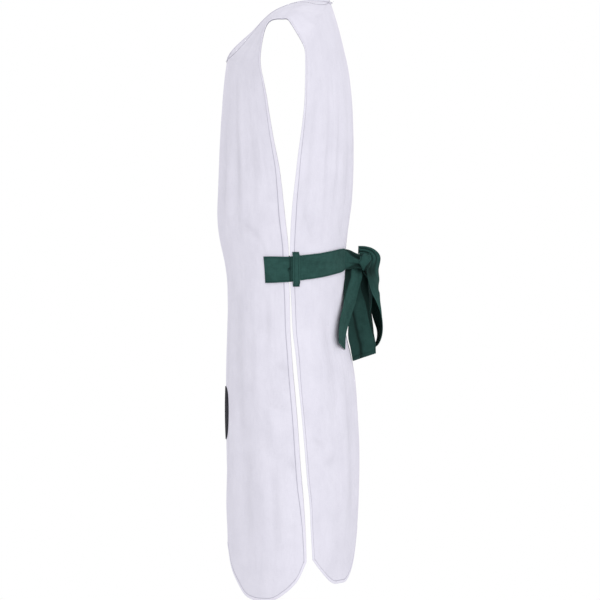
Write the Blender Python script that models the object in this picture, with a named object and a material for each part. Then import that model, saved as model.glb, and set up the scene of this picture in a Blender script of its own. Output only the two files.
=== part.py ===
"""A cloth tabard in the shape it has on a wearer: a front and a back panel that meet at the shoulders
and hang open down both sides. A belt is sewn to the front panel near each side edge. It runs through
a loop on the back panel's edge, and its two halves are tied behind in a half bow.

+Z is up, the front faces -Y and the wearer's left is +X. The tables are in millimetres. Depth is
measured along +Y from the shoulder line, and drop is measured down from the neck points, which are
where the neckline meets the shoulder seams. A station names a section across the cloth. It is
negative in front, zero at the shoulder seam and positive behind. Below the yoke, where the sections
are level, the station's size is the section's drop.
"""

import math

import bmesh
import bpy
import numpy as np

MM = 0.001
UP = np.array([0.0, 0.0, 1.0])

# Heights, walls and gaps
NECK_POINT_HEIGHT = 17.0  # above the origin, which is level with the middle of the shoulder seams
CLOTH = 1.6
STRAP = 1.5
SEAM_GAP = 0.35
REST_GAP = 1.0  # under a strap that crosses the facets of a panel

# The steps that the outward direction is measured over
SHARE_STEP = 0.001
STATION_STEP = 0.1

# How finely the panels are divided
HALF_COLUMNS = 14
BODY_ROWS = 28
FRONT_YOKE_ROWS = (3, 5, 8)  # up to the neckline's middle, round its scoop, and on to the seam
BACK_YOKE_ROWS = (7, 5)  # from the seam to the neckline's middle, and down to the level sections

# The yoke, from the front neck over the shoulder to the back neck
FRONT_NECK = -140.0
SCOOP_END = -116.0
BACK_NECK = 100.0
# station, inner x, inner depth, inner drop, edge x, edge depth, edge drop, turn
YOKE = [
    (-170.0, 0.0, -120.4, 147.0, 190.0, -44.5, 172.0, 71.0),
    (-140.0, 0.0, -114.8, 103.0, 195.0, -50.5, 142.0, 70.0),
    (-130.0, 30.0, -110.0, 94.5, 198.0, -54.0, 125.0, 69.0),
    (-118.0, 50.0, -101.0, 84.0, 200.5, -55.8, 108.0, 68.0),
    (-104.0, 64.0, -86.0, 70.0, 203.0, -54.7, 90.0, 67.0),
    (-86.0, 75.0, -69.0, 55.0, 205.0, -51.3, 68.0, 66.0),
    (-66.0, 81.5, -51.0, 35.6, 206.0, -46.0, 48.0, 64.0),
    (-42.0, 85.5, -29.0, 17.6, 206.0, -37.4, 36.5, 62.0),
    (-20.0, 87.5, -2.0, 6.0, 205.6, -27.0, 33.2, 60.0),
    (0.0, 88.0, 16.0, 1.4, 205.0, -16.2, 33.0, 60.0),
    (20.0, 84.0, 34.0, -0.6, 205.0, -6.0, 33.8, 60.0),
    (36.0, 74.0, 48.0, -0.8, 205.0, 0.8, 42.6, 60.0),
    (52.0, 58.0, 59.4, -0.9, 204.8, 8.2, 54.8, 60.0),
    (74.0, 32.0, 67.4, -1.0, 204.3, 16.4, 68.4, 60.0),
    (100.0, 0.0, 69.8, -1.0, 203.0, 24.8, 87.3, 61.0),
    (130.0, 0.0, 84.0, 44.0, 200.0, 26.3, 118.0, 62.0),
    (160.0, 0.0, 95.2, 88.0, 196.0, 25.9, 150.0, 63.0),
    (190.0, 0.0, 104.8, 134.0, 192.0, 24.8, 182.0, 64.0),
    (215.0, 0.0, 110.0, 185.0, 188.5, 21.8, 212.0, 65.0),
]

# The level sections of the front panel: drop, middle depth, edge x, edge depth, turn
FRONT_BODY = [
    (200.0, -125.0, 186.0, -40.0, 72.0),
    (250.0, -127.8, 182.0, -31.5, 74.0),
    (300.0, -130.0, 178.0, -21.5, 76.0),
    (350.0, -132.3, 175.0, -15.0, 80.0),
    (385.0, -133.4, 172.0, -11.2, 83.0),
    (416.0, -131.1, 169.0, -7.7, 85.0),
    (443.0, -126.0, 167.0, -4.8, 88.0),
    (472.0, -119.6, 166.0, -4.0, 90.0),
    (500.0, -115.6, 166.0, -3.4, 90.0),
    (540.0, -114.2, 167.0, -2.2, 90.0),
    (600.0, -114.2, 171.0, -1.0, 92.0),
    (650.0, -115.2, 176.0, 2.4, 94.0),
    (758.0, -115.6, 188.0, 11.8, 95.0),
    (850.0, -115.6, 200.0, 18.2, 96.0),
    (910.0, -116.6, 207.0, 23.4, 97.0),
    (960.0, -114.6, 213.0, 26.4, 97.0),
    (1010.0, -114.0, 219.0, 28.2, 98.0),
    (1080.0, -111.0, 226.0, 29.0, 98.0),
]
# The level sections of the back panel, in the same columns
BACK_BODY = [
    (240.0, 111.9, 184.0, 18.2, 66.0),
    (275.0, 112.0, 181.0, 13.2, 68.0),
    (322.0, 111.2, 177.0, 7.8, 70.0),
    (370.0, 108.6, 173.5, 2.4, 74.0),
    (416.0, 102.5, 169.5, -0.7, 78.0),
    (450.0, 98.9, 167.0, -1.9, 82.0),
    (500.0, 98.5, 165.5, -1.5, 82.0),
    (540.0, 98.2, 166.0, 0.6, 82.0),
    (600.0, 99.2, 170.0, 3.8, 80.0),
    (640.0, 108.5, 174.0, 8.8, 79.0),
    (682.0, 115.8, 179.0, 12.8, 78.0),
    (745.0, 120.6, 187.0, 19.2, 77.0),
    (800.0, 123.4, 194.0, 24.2, 76.0),
    (868.0, 123.2, 203.0, 29.8, 76.0),
    (905.0, 121.8, 207.0, 33.8, 76.0),
    (950.0, 119.2, 212.0, 35.8, 75.0),
    (1000.0, 115.6, 217.0, 38.6, 75.0),
    (1050.0, 112.6, 222.0, 39.8, 75.0),
]

# The hems end in two tongues with a notch between them: share of the way from middle to edge, drop
FRONT_HEM = [
    (0.0, 980.0),
    (0.09, 990.0),
    (0.18, 1019.0),
    (0.30, 1047.0),
    (0.41, 1070.0),
    (0.50, 1077.5),
    (0.61, 1080.0),
    (0.71, 1078.0),
    (0.80, 1067.0),
    (0.87, 1055.0),
    (0.93, 1040.0),
    (1.0, 1009.0),
]
BACK_HEM = [
    (0.0, 952.0),
    (0.06, 968.0),
    (0.13, 997.0),
    (0.22, 1018.0),
    (0.31, 1033.0),
    (0.42, 1045.0),
    (0.55, 1048.0),
    (0.68, 1048.0),
    (0.76, 1042.0),
    (0.85, 1030.5),
    (0.93, 1018.0),
    (1.0, 1005.0),
]

# The belt, from its sewn end on the front panel round the side and the back: on which side of the
# edges it lies, share of the way from middle to edge, drop of its centre line, width
BELT_ON_PANELS = [
    (-1, 0.753, 484.6, 47.7),
    (-1, 0.80, 484.4, 47.6),
    (-1, 0.86, 484.2, 47.2),
    (-1, 0.93, 484.0, 46.2),
    (-1, 1.0, 483.8, 45.6),
    (1, 1.0, 483.6, 45.5),
    (1, 0.93, 482.0, 45.0),
    (1, 0.86, 480.6, 44.8),
    (1, 0.786, 479.3, 44.6),
    (1, 0.714, 478.0, 44.3),
    (1, 0.643, 476.6, 44.0),
    (1, 0.571, 474.8, 43.8),
    (1, 0.5, 473.0, 43.5),
    (1, 0.429, 471.2, 43.2),
    (1, 0.357, 469.6, 43.0),
    (1, 0.286, 468.3, 42.0),
    (1, 0.214, 467.0, 40.0),
    (1, 0.16, 466.6, 37.0),
]
# Its last stretch, clear of the back panel: x, depth, drop, width
BELT_TO_KNOT = [
    (26.5, 107.0, 467.4, 35.0),
    (22.6, 114.5, 468.6, 29.0),
    (20.0, 121.5, 470.0, 25.0),
]
BELT_ROWS = 4

# The loop that holds the belt on the back panel's edge
LOOP_SHARE = 0.9375
LOOP_WIDTH = 12.5
LOOP_WALL = 1.2
LOOP_COLUMNS = 2
LOOP_BRIDGE = 4.9  # its outer side above the panel where it passes over the belt
LOOP_SEAT = 1.9  # the same where it is sewn down
LOOP_MIDDLE = 484.0
# drop, outer side above the panel
LOOP_ROWS = [
    (514.5, LOOP_SEAT),
    (511.5, LOOP_SEAT),
    (508.7, LOOP_BRIDGE),
    (483.0, LOOP_BRIDGE),
    (457.0, LOOP_BRIDGE),
    (454.6, LOOP_SEAT),
    (452.6, LOOP_SEAT),
]

# The knot is a rounded block, tipped so that its lower corner points down
KNOT_CENTRE = (0.0, 129.0, 472.5)
KNOT_SIZE = (36.0, 24.0, 25.0)
KNOT_TIP = -20.0
KNOT_ROUNDING = 6.0
KNOT_SEGMENTS = 3

# The bow's one loop, from the top of the knot out, down and back up to the underside of the knot:
# x, depth, drop of the strap's centre, x, y and z of the direction across it, width, and how far its
# middle stands out from the line between its edges
BOW_LOOP = [
    (3.0, 121.0, 449.4, 0.0, 0.05, 1.0, 14.0, 0.0),
    (4.0, 132.5, 450.2, 0.0, 0.2, 0.98, 15.0, 0.0),
    (5.0, 144.0, 454.5, -0.05, 0.5, 0.87, 17.0, 0.0),
    (5.0, 152.5, 466.0, -0.3, 0.8, 0.5, 20.0, 0.0),
    (1.0, 150.5, 486.0, -0.86, 0.35, 0.1, 38.0, 0.0),
    (-3.0, 151.5, 507.0, -0.94, 0.33, 0.0, 45.0, 2.0),
    (-7.0, 150.5, 526.0, -0.99, 0.12, 0.0, 42.0, 8.5),
    (-9.0, 151.5, 542.0, -0.98, -0.18, 0.0, 42.0, 9.5),
    (-11.0, 154.5, 559.0, -0.94, -0.34, 0.0, 44.0, 7.0),
    (-12.0, 158.0, 576.0, -0.94, -0.31, 0.0, 46.0, 3.5),
    (-13.0, 160.6, 592.0, -0.97, -0.22, 0.0, 47.0, 1.0),
    (-14.0, 160.2, 606.0, -0.98, -0.16, 0.0, 47.0, 0.0),
    (-15.5, 156.0, 618.5, -0.98, -0.12, 0.0, 47.0, 0.0),
    (-17.5, 151.0, 624.0, -1.0, -0.06, 0.0, 47.0, 0.0),
    (-20.0, 147.4, 616.0, -1.0, 0.0, 0.0, 47.0, 0.0),
    (-22.0, 145.6, 597.0, -1.0, 0.05, 0.0, 47.0, 0.0),
    (-24.0, 144.0, 570.0, -0.99, 0.06, 0.0, 46.0, 0.0),
    (-23.0, 141.8, 540.0, -0.98, 0.15, 0.0, 42.0, 0.0),
    (-19.0, 137.6, 510.0, -0.97, 0.25, 0.0, 31.0, 0.0),
    (-14.5, 131.5, 487.5, -1.0, 0.0, 0.0, 18.0, 0.0),
]
# The end that hangs beside the middle of the back, in the same columns
TAIL_SIDE = [
    (15.5, 117.0, 487.0, -0.75, 0.66, 0.0, 28.0, 0.0),
    (23.0, 114.6, 499.0, -0.72, 0.7, 0.0, 39.0, 0.0),
    (34.0, 110.6, 521.0, -0.85, 0.53, 0.0, 44.0, 0.0),
    (48.0, 105.6, 546.0, -0.9, 0.44, -0.05, 47.0, 0.0),
    (64.0, 98.8, 571.0, -0.935, 0.355, -0.1, 48.0, 0.0),
    (79.0, 93.4, 597.0, -0.96, 0.265, -0.16, 48.0, 0.0),
    (93.0, 92.6, 623.0, -0.94, 0.22, -0.26, 48.0, 0.0),
]
# The end that hangs edge to the back, in the same columns
TAIL_BACK = [
    (-1.0, 133.0, 487.0, -0.5, 0.86, 0.0, 16.0, 0.0),
    (2.5, 131.8, 505.0, -0.5, 0.86, 0.0, 22.0, 0.0),
    (7.0, 129.5, 530.0, -0.5, 0.86, 0.0, 30.0, 0.0),
    (13.0, 125.5, 560.0, -0.49, 0.87, 0.05, 39.0, 0.0),
    (17.0, 124.0, 598.0, -0.48, 0.87, 0.15, 46.0, 0.0),
    (19.5, 128.0, 620.0, -0.47, 0.86, 0.24, 48.0, 0.0),
    (21.0, 132.5, 643.0, -0.46, 0.85, 0.28, 48.0, 0.0),
]
STRAP_COLUMNS = 4
STRAP_STEPS = 2  # sections made between two rows of a strap's table

# The oval patch on the middle of the front panel
PATCH_DROP = 743.0
PATCH_HALF_WIDTH = 28.0
PATCH_HALF_HEIGHT = 48.0
PATCH_WALL = 1.2
PATCH_SEAT = 1.8  # its outer side above the panel at its rim
PATCH_RISE = 2.2  # how much further its middle stands out
PATCH_RINGS = 5
PATCH_SECTORS = 32

SHARP_ANGLE = 50.0

# name: red, green, blue, roughness
FINISHES = {
    "white_cloth": (0.76, 0.745, 0.83, 0.85),
    "green_cloth": (0.028, 0.084, 0.072, 0.8),
    "dark_cloth": (0.032, 0.032, 0.039, 0.8),
}


def through(knots, values, at):
    """A smooth curve through the rows of values at the knots: one cubic for each span, whose slope
    at a knot is the slope of the parabola through that knot and its two neighbours."""
    knots = np.asarray(knots, float)
    values = np.asarray(values, float)
    at = np.asarray(at, float)
    slopes = np.gradient(values, knots, axis=0)
    i = np.clip(np.searchsorted(knots, at, side="right") - 1, 0, len(knots) - 2)
    span = (knots[i + 1] - knots[i])[..., None]
    f = (at - knots[i])[..., None] / span
    ends = (1 + 2 * f) * (1 - f) ** 2 * values[i] + f * f * (3 - 2 * f) * values[i + 1]
    return ends + span * f * (1 - f) * ((1 - f) * slopes[i] - f * slopes[i + 1])


def unit(vectors):
    return vectors / np.linalg.norm(vectors, axis=-1, keepdims=True)


def level_row(side, row):
    """A row of the body tables with the yoke table's columns."""
    drop, middle_depth, edge_x, edge_depth, turn = row
    return (side * drop, 0.0, middle_depth, drop, edge_x, edge_depth, drop, turn)


SECTIONS = np.array(
    [level_row(-1, row) for row in reversed(FRONT_BODY)]
    + YOKE
    + [level_row(1, row) for row in BACK_BODY]
)


def mirrored_row(row, middle):
    """A row of the neckline repeated beyond the neckline's middle, on the wearer's other side, so
    that the curve crosses the middle squarely."""
    station, x, depth, drop = row
    return np.array([2 * middle - station, -x, depth, drop])


def inner_line(station):
    """x, depth and drop of the line that each half of a section starts on: the neckline in the yoke,
    and the middle of a panel below it."""
    all_stations = SECTIONS[:, 0]
    front = SECTIONS[all_stations <= FRONT_NECK, :4]
    back = SECTIONS[all_stations >= BACK_NECK, :4]
    neck = SECTIONS[(all_stations >= FRONT_NECK) & (all_stations <= BACK_NECK), :4]
    neck = np.vstack([mirrored_row(neck[1], FRONT_NECK), neck, mirrored_row(neck[-2], BACK_NECK)])
    lines = [through(part[:, 0], part[:, 1:], station) for part in (front, neck, back)]
    found = np.where((station <= FRONT_NECK)[..., None], lines[0], lines[1])
    return np.where((station >= BACK_NECK)[..., None], lines[2], found)


def cloth(station, share):
    """Points of the panels' outer side in the wearer's left half. Each section is an arc of an
    ellipse that turns through its angle between the middle and the side edge. A share of 0 is the
    neckline or the middle, and a share of 1 is the side edge."""
    station, share = np.broadcast_arrays(station, share)
    inner_x, inner_depth, inner_drop = np.moveaxis(inner_line(station), -1, 0)
    edge = through(SECTIONS[:, 0], SECTIONS[:, 4:], station)
    edge_x, edge_depth, edge_drop, turn = np.moveaxis(edge, -1, 0)
    turn = np.radians(turn)
    start = np.arcsin(inner_x * np.sin(turn) / edge_x)
    angle = start + (turn - start) * share
    along = (np.cos(start) - np.cos(angle)) / (np.cos(start) - np.cos(turn))
    x = edge_x * np.sin(angle) / np.sin(turn)
    depth = inner_depth + (edge_depth - inner_depth) * along
    drop = inner_drop + (edge_drop - inner_drop) * along
    return np.stack([x, depth, NECK_POINT_HEIGHT - drop], axis=-1)


def outward(grid):
    """Unit normals of a grid of points whose rows and columns run so that a step to the next column,
    crossed with a step to the next row, points outwards."""
    rows, columns = np.gradient(grid, axis=(0, 1))
    normals = np.cross(columns, rows)
    normals[np.abs(grid[..., 0]) < 1e-6, 0] = 0.0
    return unit(normals)


def raised(station, share, lift):
    """Points above the panels' outer side by the given lift. The outward direction comes from a
    small step along the section and one across it."""
    here = cloth(station, share)
    across = cloth(station, share - SHARE_STEP) - here
    down = cloth(station + STATION_STEP, share) - here
    return here + unit(np.cross(down, across)) * np.asarray(lift, float)[..., None]


def mirrored(grid):
    """The same grid on the wearer's other side, with its columns turned round so that it still faces
    outwards."""
    return grid[:, ::-1] * np.array([-1.0, 1.0, 1.0])


def grid_faces(rows, columns, first=0):
    """Two triangles for each cell of a grid."""
    corner = first + np.arange(rows * columns).reshape(rows, columns)
    a, b = corner[:-1, :-1].ravel(), corner[:-1, 1:].ravel()
    c, d = corner[1:, 1:].ravel(), corner[1:, :-1].ravel()
    return np.concatenate([np.stack([a, b, c], 1), np.stack([a, c, d], 1)])


def welded(points, faces):
    """Numbers points that coincide alike, and drops triangles that have collapsed."""
    _, first, index = np.unique(
        np.round(points, 4), axis=0, return_index=True, return_inverse=True
    )
    faces = index.reshape(-1)[faces]
    whole = (faces != np.roll(faces, 1, axis=1)).all(axis=1)
    return first, faces[whole]


def wall(outer, inner, faces):
    """A closed body between two sheets of matching points, with a rim along the sheets' edges."""
    first, faces = welded(outer, faces)
    outer, inner = outer[first], inner[first]
    count = len(outer)
    ends = np.concatenate([faces[:, [0, 1]], faces[:, [1, 2]], faces[:, [2, 0]]])
    one_way = ends[:, 0] * count + ends[:, 1]
    other_way = ends[:, 1] * count + ends[:, 0]
    a, b = ends[~np.isin(one_way, other_way)].T
    rim = np.stack([b, a, a + count, b + count], 1)
    return np.vstack([outer, inner]), faces.tolist() + (faces[:, ::-1] + count).tolist() + rim.tolist()


def finish(name):
    """The named finish as a material, made when it is first asked for."""
    if name not in bpy.data.materials:
        red, green, blue, roughness = FINISHES[name]
        material = bpy.data.materials.new(name)
        material.use_nodes = True
        shader = material.node_tree.nodes["Principled BSDF"]
        shader.inputs["Base Color"].default_value = (red, green, blue, 1.0)
        shader.inputs["Roughness"].default_value = roughness
        shader.inputs["Metallic"].default_value = 0.0
        material.diffuse_color = (red, green, blue, 1.0)
    return bpy.data.materials[name]


def add_object(name, mesh, finish_name):
    mesh.materials.append(finish(finish_name))
    mesh.shade_smooth()
    mesh.set_sharp_from_angle(angle=math.radians(SHARP_ANGLE))
    made = bpy.data.objects.new(name, mesh)
    bpy.context.scene.collection.objects.link(made)
    return made


def add_wall(name, outer, inner, faces, finish_name):
    points, faces = wall(outer, inner, faces)
    mesh = bpy.data.meshes.new(name)
    mesh.from_pydata((points * MM).tolist(), [], faces)
    return add_object(name, mesh, finish_name)


def add_strap(name, outer, thickness, finish_name="green_cloth"):
    """A strap or patch from a grid of its outer side."""
    inner = outer - outward(outer) * thickness
    rows, columns = outer.shape[:2]
    add_wall(name, outer.reshape(-1, 3), inner.reshape(-1, 3), grid_faces(rows, columns), finish_name)


def hem_rows(side, hem, yoke_end):
    """Stations of a panel's rows below the yoke, negative if the side is. Each column is divided
    evenly from the yoke's end down to the hem."""
    share = np.linspace(0, 1, HALF_COLUMNS + 1)
    bottom = through([row[0] for row in hem], [row[1:] for row in hem], share)[:, 0]
    down = np.linspace(0, 1, BODY_ROWS + 1)[1:, None]
    return side * (yoke_end + (bottom - yoke_end) * down)


def spaced(ends, counts):
    """Stations from the first end to the last, with the given number of even steps in each span."""
    spans = [
        np.linspace(start, stop, count, endpoint=False)
        for start, stop, count in zip(ends[:-1], ends[1:], counts)
    ]
    return np.concatenate(spans + [[ends[-1]]])


def make_panels():
    """Both panels come from one grid that runs from the front hem over the shoulder to the back hem,
    so their walls meet flush at the shoulder seam."""
    share = np.linspace(0, 1, HALF_COLUMNS + 1)
    front_end, back_end = FRONT_BODY[0][0], BACK_BODY[0][0]
    front_yoke = spaced([-front_end, FRONT_NECK, SCOOP_END, 0.0], FRONT_YOKE_ROWS)
    back_yoke = spaced([0.0, BACK_NECK, back_end], BACK_YOKE_ROWS)
    yoke = np.concatenate([front_yoke, back_yoke[1:]])[:, None] + 0 * share
    stations = np.vstack(
        [
            hem_rows(-1, FRONT_HEM, front_end)[::-1],
            yoke,
            hem_rows(1, BACK_HEM, back_end),
        ]
    )
    seam = BODY_ROWS + len(front_yoke) - 1
    outer = cloth(stations, share)
    inner = outer - outward(outer) * CLOTH
    add_panel("front_panel", outer[: seam + 1], inner[: seam + 1], seam, -SEAM_GAP / 2)
    add_panel("back_panel", outer[seam:], inner[seam:], 0, SEAM_GAP / 2)


def add_panel(name, outer, inner, seam_row, seam_shift):
    """One panel: the wearer's left half and its mirror image, joined down the middle."""
    outer, inner = outer.copy(), inner.copy()
    for side in (outer, inner):
        side[seam_row, :, 1] += seam_shift
    rows, columns = outer.shape[:2]
    left = grid_faces(rows, columns)
    right = grid_faces(rows, columns, first=rows * columns)
    add_wall(
        name,
        np.vstack([outer.reshape(-1, 3), mirrored(outer).reshape(-1, 3)]),
        np.vstack([inner.reshape(-1, 3), mirrored(inner).reshape(-1, 3)]),
        np.vstack([left, right]),
        "white_cloth",
    )


def make_belt():
    """Each half of the belt follows the panels, then leaves the back for the knot."""
    side, share, drop, width = np.array(BELT_ON_PANELS).T
    across = np.linspace(0.5, -0.5, BELT_ROWS + 1)[:, None]
    stations = side * (drop + across * width)
    on_panels = raised(stations, share + 0 * across, REST_GAP + STRAP + 0 * stations)
    x, depth, drop, width = np.array(BELT_TO_KNOT).T
    height = NECK_POINT_HEIGHT - drop - across * width
    to_knot = np.stack(np.broadcast_arrays(x, depth, height), axis=-1)
    left = np.concatenate([on_panels, to_knot], axis=1)
    add_strap("belt_left", left, STRAP)
    add_strap("belt_right", mirrored(left), STRAP)


def make_belt_loops():
    """A narrow strap sewn down above and below the belt on the back panel's edge."""
    drop, lift = np.array(LOOP_ROWS).T[:, :, None]
    step = cloth(LOOP_MIDDLE, LOOP_SHARE + SHARE_STEP) - cloth(LOOP_MIDDLE, LOOP_SHARE)
    share_width = SHARE_STEP * LOOP_WIDTH / np.linalg.norm(step)
    across = LOOP_SHARE - np.linspace(-0.5, 0.5, LOOP_COLUMNS + 1) * share_width
    left = raised(drop + 0 * across, across + 0 * drop, lift + 0 * across)
    add_strap("belt_loop_left", left, LOOP_WALL)
    add_strap("belt_loop_right", mirrored(left), LOOP_WALL)


def strap_grid(table):
    """The outer side of a free strap: at each place on its path, points from one edge to the other."""
    table = np.array(table)
    knots = np.arange(len(table))
    at = np.linspace(0, len(table) - 1, (len(table) - 1) * STRAP_STEPS + 1)
    rows = through(knots, table, at)
    centre = rows[:, :3] * [1, 1, -1] + NECK_POINT_HEIGHT * UP
    across = unit(rows[:, 3:6]) * rows[:, 6:7]
    place = np.linspace(-0.5, 0.5, STRAP_COLUMNS + 1)[:, None, None]
    flat = centre + across * place
    return flat + outward(flat) * rows[:, 7:] * (1 - 4 * place**2)


def make_knot():
    x, depth, drop = KNOT_CENTRE
    block = bmesh.new()
    bmesh.ops.create_cube(block, size=1.0)
    bmesh.ops.scale(block, vec=[size * MM for size in KNOT_SIZE], verts=block.verts)
    bmesh.ops.bevel(
        block,
        geom=block.edges[:],
        offset=KNOT_ROUNDING * MM,
        segments=KNOT_SEGMENTS,
        profile=0.5,
        affect="EDGES",
    )
    mesh = bpy.data.meshes.new("bow_knot")
    block.to_mesh(mesh)
    block.free()
    knot = add_object("bow_knot", mesh, "green_cloth")
    knot.location = (x * MM, depth * MM, (NECK_POINT_HEIGHT - drop) * MM)
    knot.rotation_euler = (math.radians(KNOT_TIP), 0.0, 0.0)


def make_bow():
    make_knot()
    add_strap("bow_loop", strap_grid(BOW_LOOP), STRAP)
    add_strap("bow_tail_side", strap_grid(TAIL_SIDE), STRAP)
    add_strap("bow_tail_back", strap_grid(TAIL_BACK), STRAP)


def make_patch():
    """An upright oval of cloth on the front panel's own form, a little fuller in its middle. Its rings
    run outwards and its columns run round it."""
    ring = np.linspace(0, 1, PATCH_RINGS + 1)[:, None]
    angle = np.linspace(0, 2 * math.pi, PATCH_SECTORS + 1)
    across = PATCH_HALF_WIDTH * ring * np.cos(angle)
    drop = PATCH_DROP + PATCH_HALF_HEIGHT * ring * np.sin(angle)
    edge = through(SECTIONS[:, 0], SECTIONS[:, 4:], -drop)
    turn = np.radians(edge[..., 3])
    share = np.arcsin(np.abs(across) * np.sin(turn) / edge[..., 0]) / turn
    lift = PATCH_SEAT + PATCH_RISE * (1 - ring**2) + 0 * across
    outer = raised(-drop, share, lift)
    inner = raised(-drop, share, lift - PATCH_WALL)
    turn_round = np.where(across < 0, -1.0, 1.0)
    for side in (outer, inner):
        side[..., 0] *= turn_round
        side[:, -1] = side[:, 0]
    faces = grid_faces(*outer.shape[:2])
    add_wall("front_patch", outer.reshape(-1, 3), inner.reshape(-1, 3), faces, "dark_cloth")


def main():
    for old in list(bpy.data.objects):
        bpy.data.objects.remove(old, do_unlink=True)
    make_panels()
    make_belt()
    make_belt_loops()
    make_bow()
    make_patch()


main()
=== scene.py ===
# %% [markdown]
# # A cloth tabard in the shape it has on a wearer
#
# The object is two cloth panels that meet at the shoulders, a belt with two loops, and the half bow
# that ties it behind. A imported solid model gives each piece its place. This file dresses it: each
# piece becomes a fine thin shell with hems, creases and stitches, in a material of its own.

# %% Load the solid model as a fixed frame
import math

import bpy
import numpy as np
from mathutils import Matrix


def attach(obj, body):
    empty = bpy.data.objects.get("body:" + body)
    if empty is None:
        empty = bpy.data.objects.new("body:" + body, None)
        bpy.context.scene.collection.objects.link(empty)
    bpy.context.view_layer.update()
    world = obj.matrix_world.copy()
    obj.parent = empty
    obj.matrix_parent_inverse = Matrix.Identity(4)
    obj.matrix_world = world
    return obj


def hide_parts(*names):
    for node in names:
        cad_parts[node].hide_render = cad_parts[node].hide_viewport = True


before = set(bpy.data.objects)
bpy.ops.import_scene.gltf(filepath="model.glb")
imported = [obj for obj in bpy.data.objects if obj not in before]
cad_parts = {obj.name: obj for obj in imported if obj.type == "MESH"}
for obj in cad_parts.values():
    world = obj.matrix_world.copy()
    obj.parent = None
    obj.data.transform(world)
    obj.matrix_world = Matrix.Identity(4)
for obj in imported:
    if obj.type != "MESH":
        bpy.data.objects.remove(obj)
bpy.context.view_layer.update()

MM = 0.001

# %% [markdown]
# ## One surface for both panels
#
# A worn panel is a sheet that has been bent round a body, so each level section of it is a smooth arc.
# A table of a few such arcs is easier to correct than a sculpted mesh. All the sizes are in
# millimetres. A station names a section: it is the section's drop below the neck points, negative in
# front, and over the shoulders it runs on through zero.

# %% The sections of the panels
# station, inner x, inner depth, inner drop, edge x, edge depth, edge drop, turn
YOKE = [
    (-170, 0, -120.4, 147, 190, -44.5, 172, 71),
    (-140, 0, -114.8, 103, 195, -50.5, 142, 70),
    (-130, 30, -110, 94.5, 198, -54, 125, 69),
    (-118, 50, -101, 84, 200.5, -55.8, 108, 68),
    (-104, 64, -86, 70, 203, -54.7, 90, 67),
    (-86, 75, -69, 55, 205, -51.3, 68, 66),
    (-66, 81.5, -51, 35.6, 206, -46, 48, 64),
    (-42, 85.5, -29, 17.6, 206, -37.4, 36.5, 62),
    (-20, 87.5, -2, 6, 205.6, -27, 33.2, 60),
    (0, 88, 16, 1.4, 205, -16.2, 33, 60),
    (20, 84, 34, -0.6, 205, -6, 33.8, 60),
    (36, 74, 48, -0.8, 205, 0.8, 42.6, 60),
    (52, 58, 59.4, -0.9, 204.8, 8.2, 54.8, 60),
    (74, 32, 67.4, -1, 204.3, 16.4, 68.4, 60),
    (100, 0, 69.8, -1, 203, 24.8, 87.3, 61),
    (130, 0, 84, 44, 200, 26.3, 118, 62),
    (160, 0, 95.2, 88, 196, 25.9, 150, 63),
    (190, 0, 104.8, 134, 192, 24.8, 182, 64),
    (215, 0, 110, 185, 188.5, 21.8, 212, 65),
]
# drop, middle depth, edge x, edge depth, turn
FRONT_BODY = [
    (200, -125, 186, -40, 72),
    (250, -127.8, 182, -31.5, 74),
    (300, -130, 178, -21.5, 76),
    (350, -132.3, 175, -15, 80),
    (385, -133.4, 172, -11.2, 83),
    (416, -131.1, 169, -7.7, 85),
    (443, -126, 167, -4.8, 88),
    (472, -119.6, 166, -4, 90),
    (500, -115.6, 166, -3.4, 90),
    (540, -114.2, 167, -2.2, 90),
    (600, -114.2, 171, -1, 92),
    (650, -115.2, 176, 2.4, 94),
    (758, -115.6, 188, 11.8, 95),
    (850, -115.6, 200, 18.2, 96),
    (910, -116.6, 207, 23.4, 97),
    (960, -114.6, 213, 26.4, 97),
    (1010, -114, 219, 28.2, 98),
    (1080, -111, 226, 29, 98),
]
BACK_BODY = [
    (240, 111.9, 184, 18.2, 66),
    (275, 112, 181, 13.2, 68),
    (322, 111.2, 177, 7.8, 70),
    (370, 108.6, 173.5, 2.4, 74),
    (416, 102.5, 169.5, -0.7, 78),
    (450, 98.9, 167, -1.9, 82),
    (500, 98.5, 165.5, -1.5, 82),
    (540, 98.2, 166, 0.6, 82),
    (600, 99.2, 170, 3.8, 80),
    (640, 108.5, 174, 8.8, 79),
    (682, 115.8, 179, 12.8, 78),
    (745, 120.6, 187, 19.2, 77),
    (800, 123.4, 194, 24.2, 76),
    (868, 123.2, 203, 29.8, 76),
    (905, 121.8, 207, 33.8, 76),
    (950, 119.2, 212, 35.8, 75),
    (1000, 115.6, 217, 38.6, 75),
    (1050, 112.6, 222, 39.8, 75),
]

# %% The hems' outlines, which end in two tongues
# share of the way from middle to edge, drop
FRONT_HEM = [
    (0, 980), (0.09, 990), (0.18, 1019), (0.30, 1047), (0.41, 1070), (0.50, 1077.5),
    (0.61, 1080), (0.71, 1078), (0.80, 1067), (0.87, 1055), (0.93, 1040), (1, 1009),
]
BACK_HEM = [
    (0, 952), (0.06, 968), (0.13, 997), (0.22, 1018), (0.31, 1033), (0.42, 1045),
    (0.55, 1048), (0.68, 1048), (0.76, 1042), (0.85, 1030.5), (0.93, 1018), (1, 1005),
]
print("lowest point of the front hem and of the back hem:", max(FRONT_HEM, key=lambda row: row[1])[1],
      max(BACK_HEM, key=lambda row: row[1])[1], "mm")

# %% All the sections in one table
NECK_POINT_HEIGHT = 17.0
FRONT_NECK, BACK_NECK = -140.0, 100.0


def level_row(side, row):
    """A body row in the yoke's columns: its section starts on the middle line, level with its edge."""
    drop, middle_depth, edge_x, edge_depth, turn = row
    return (side * drop, 0.0, middle_depth, drop, edge_x, edge_depth, drop, turn)


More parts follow.
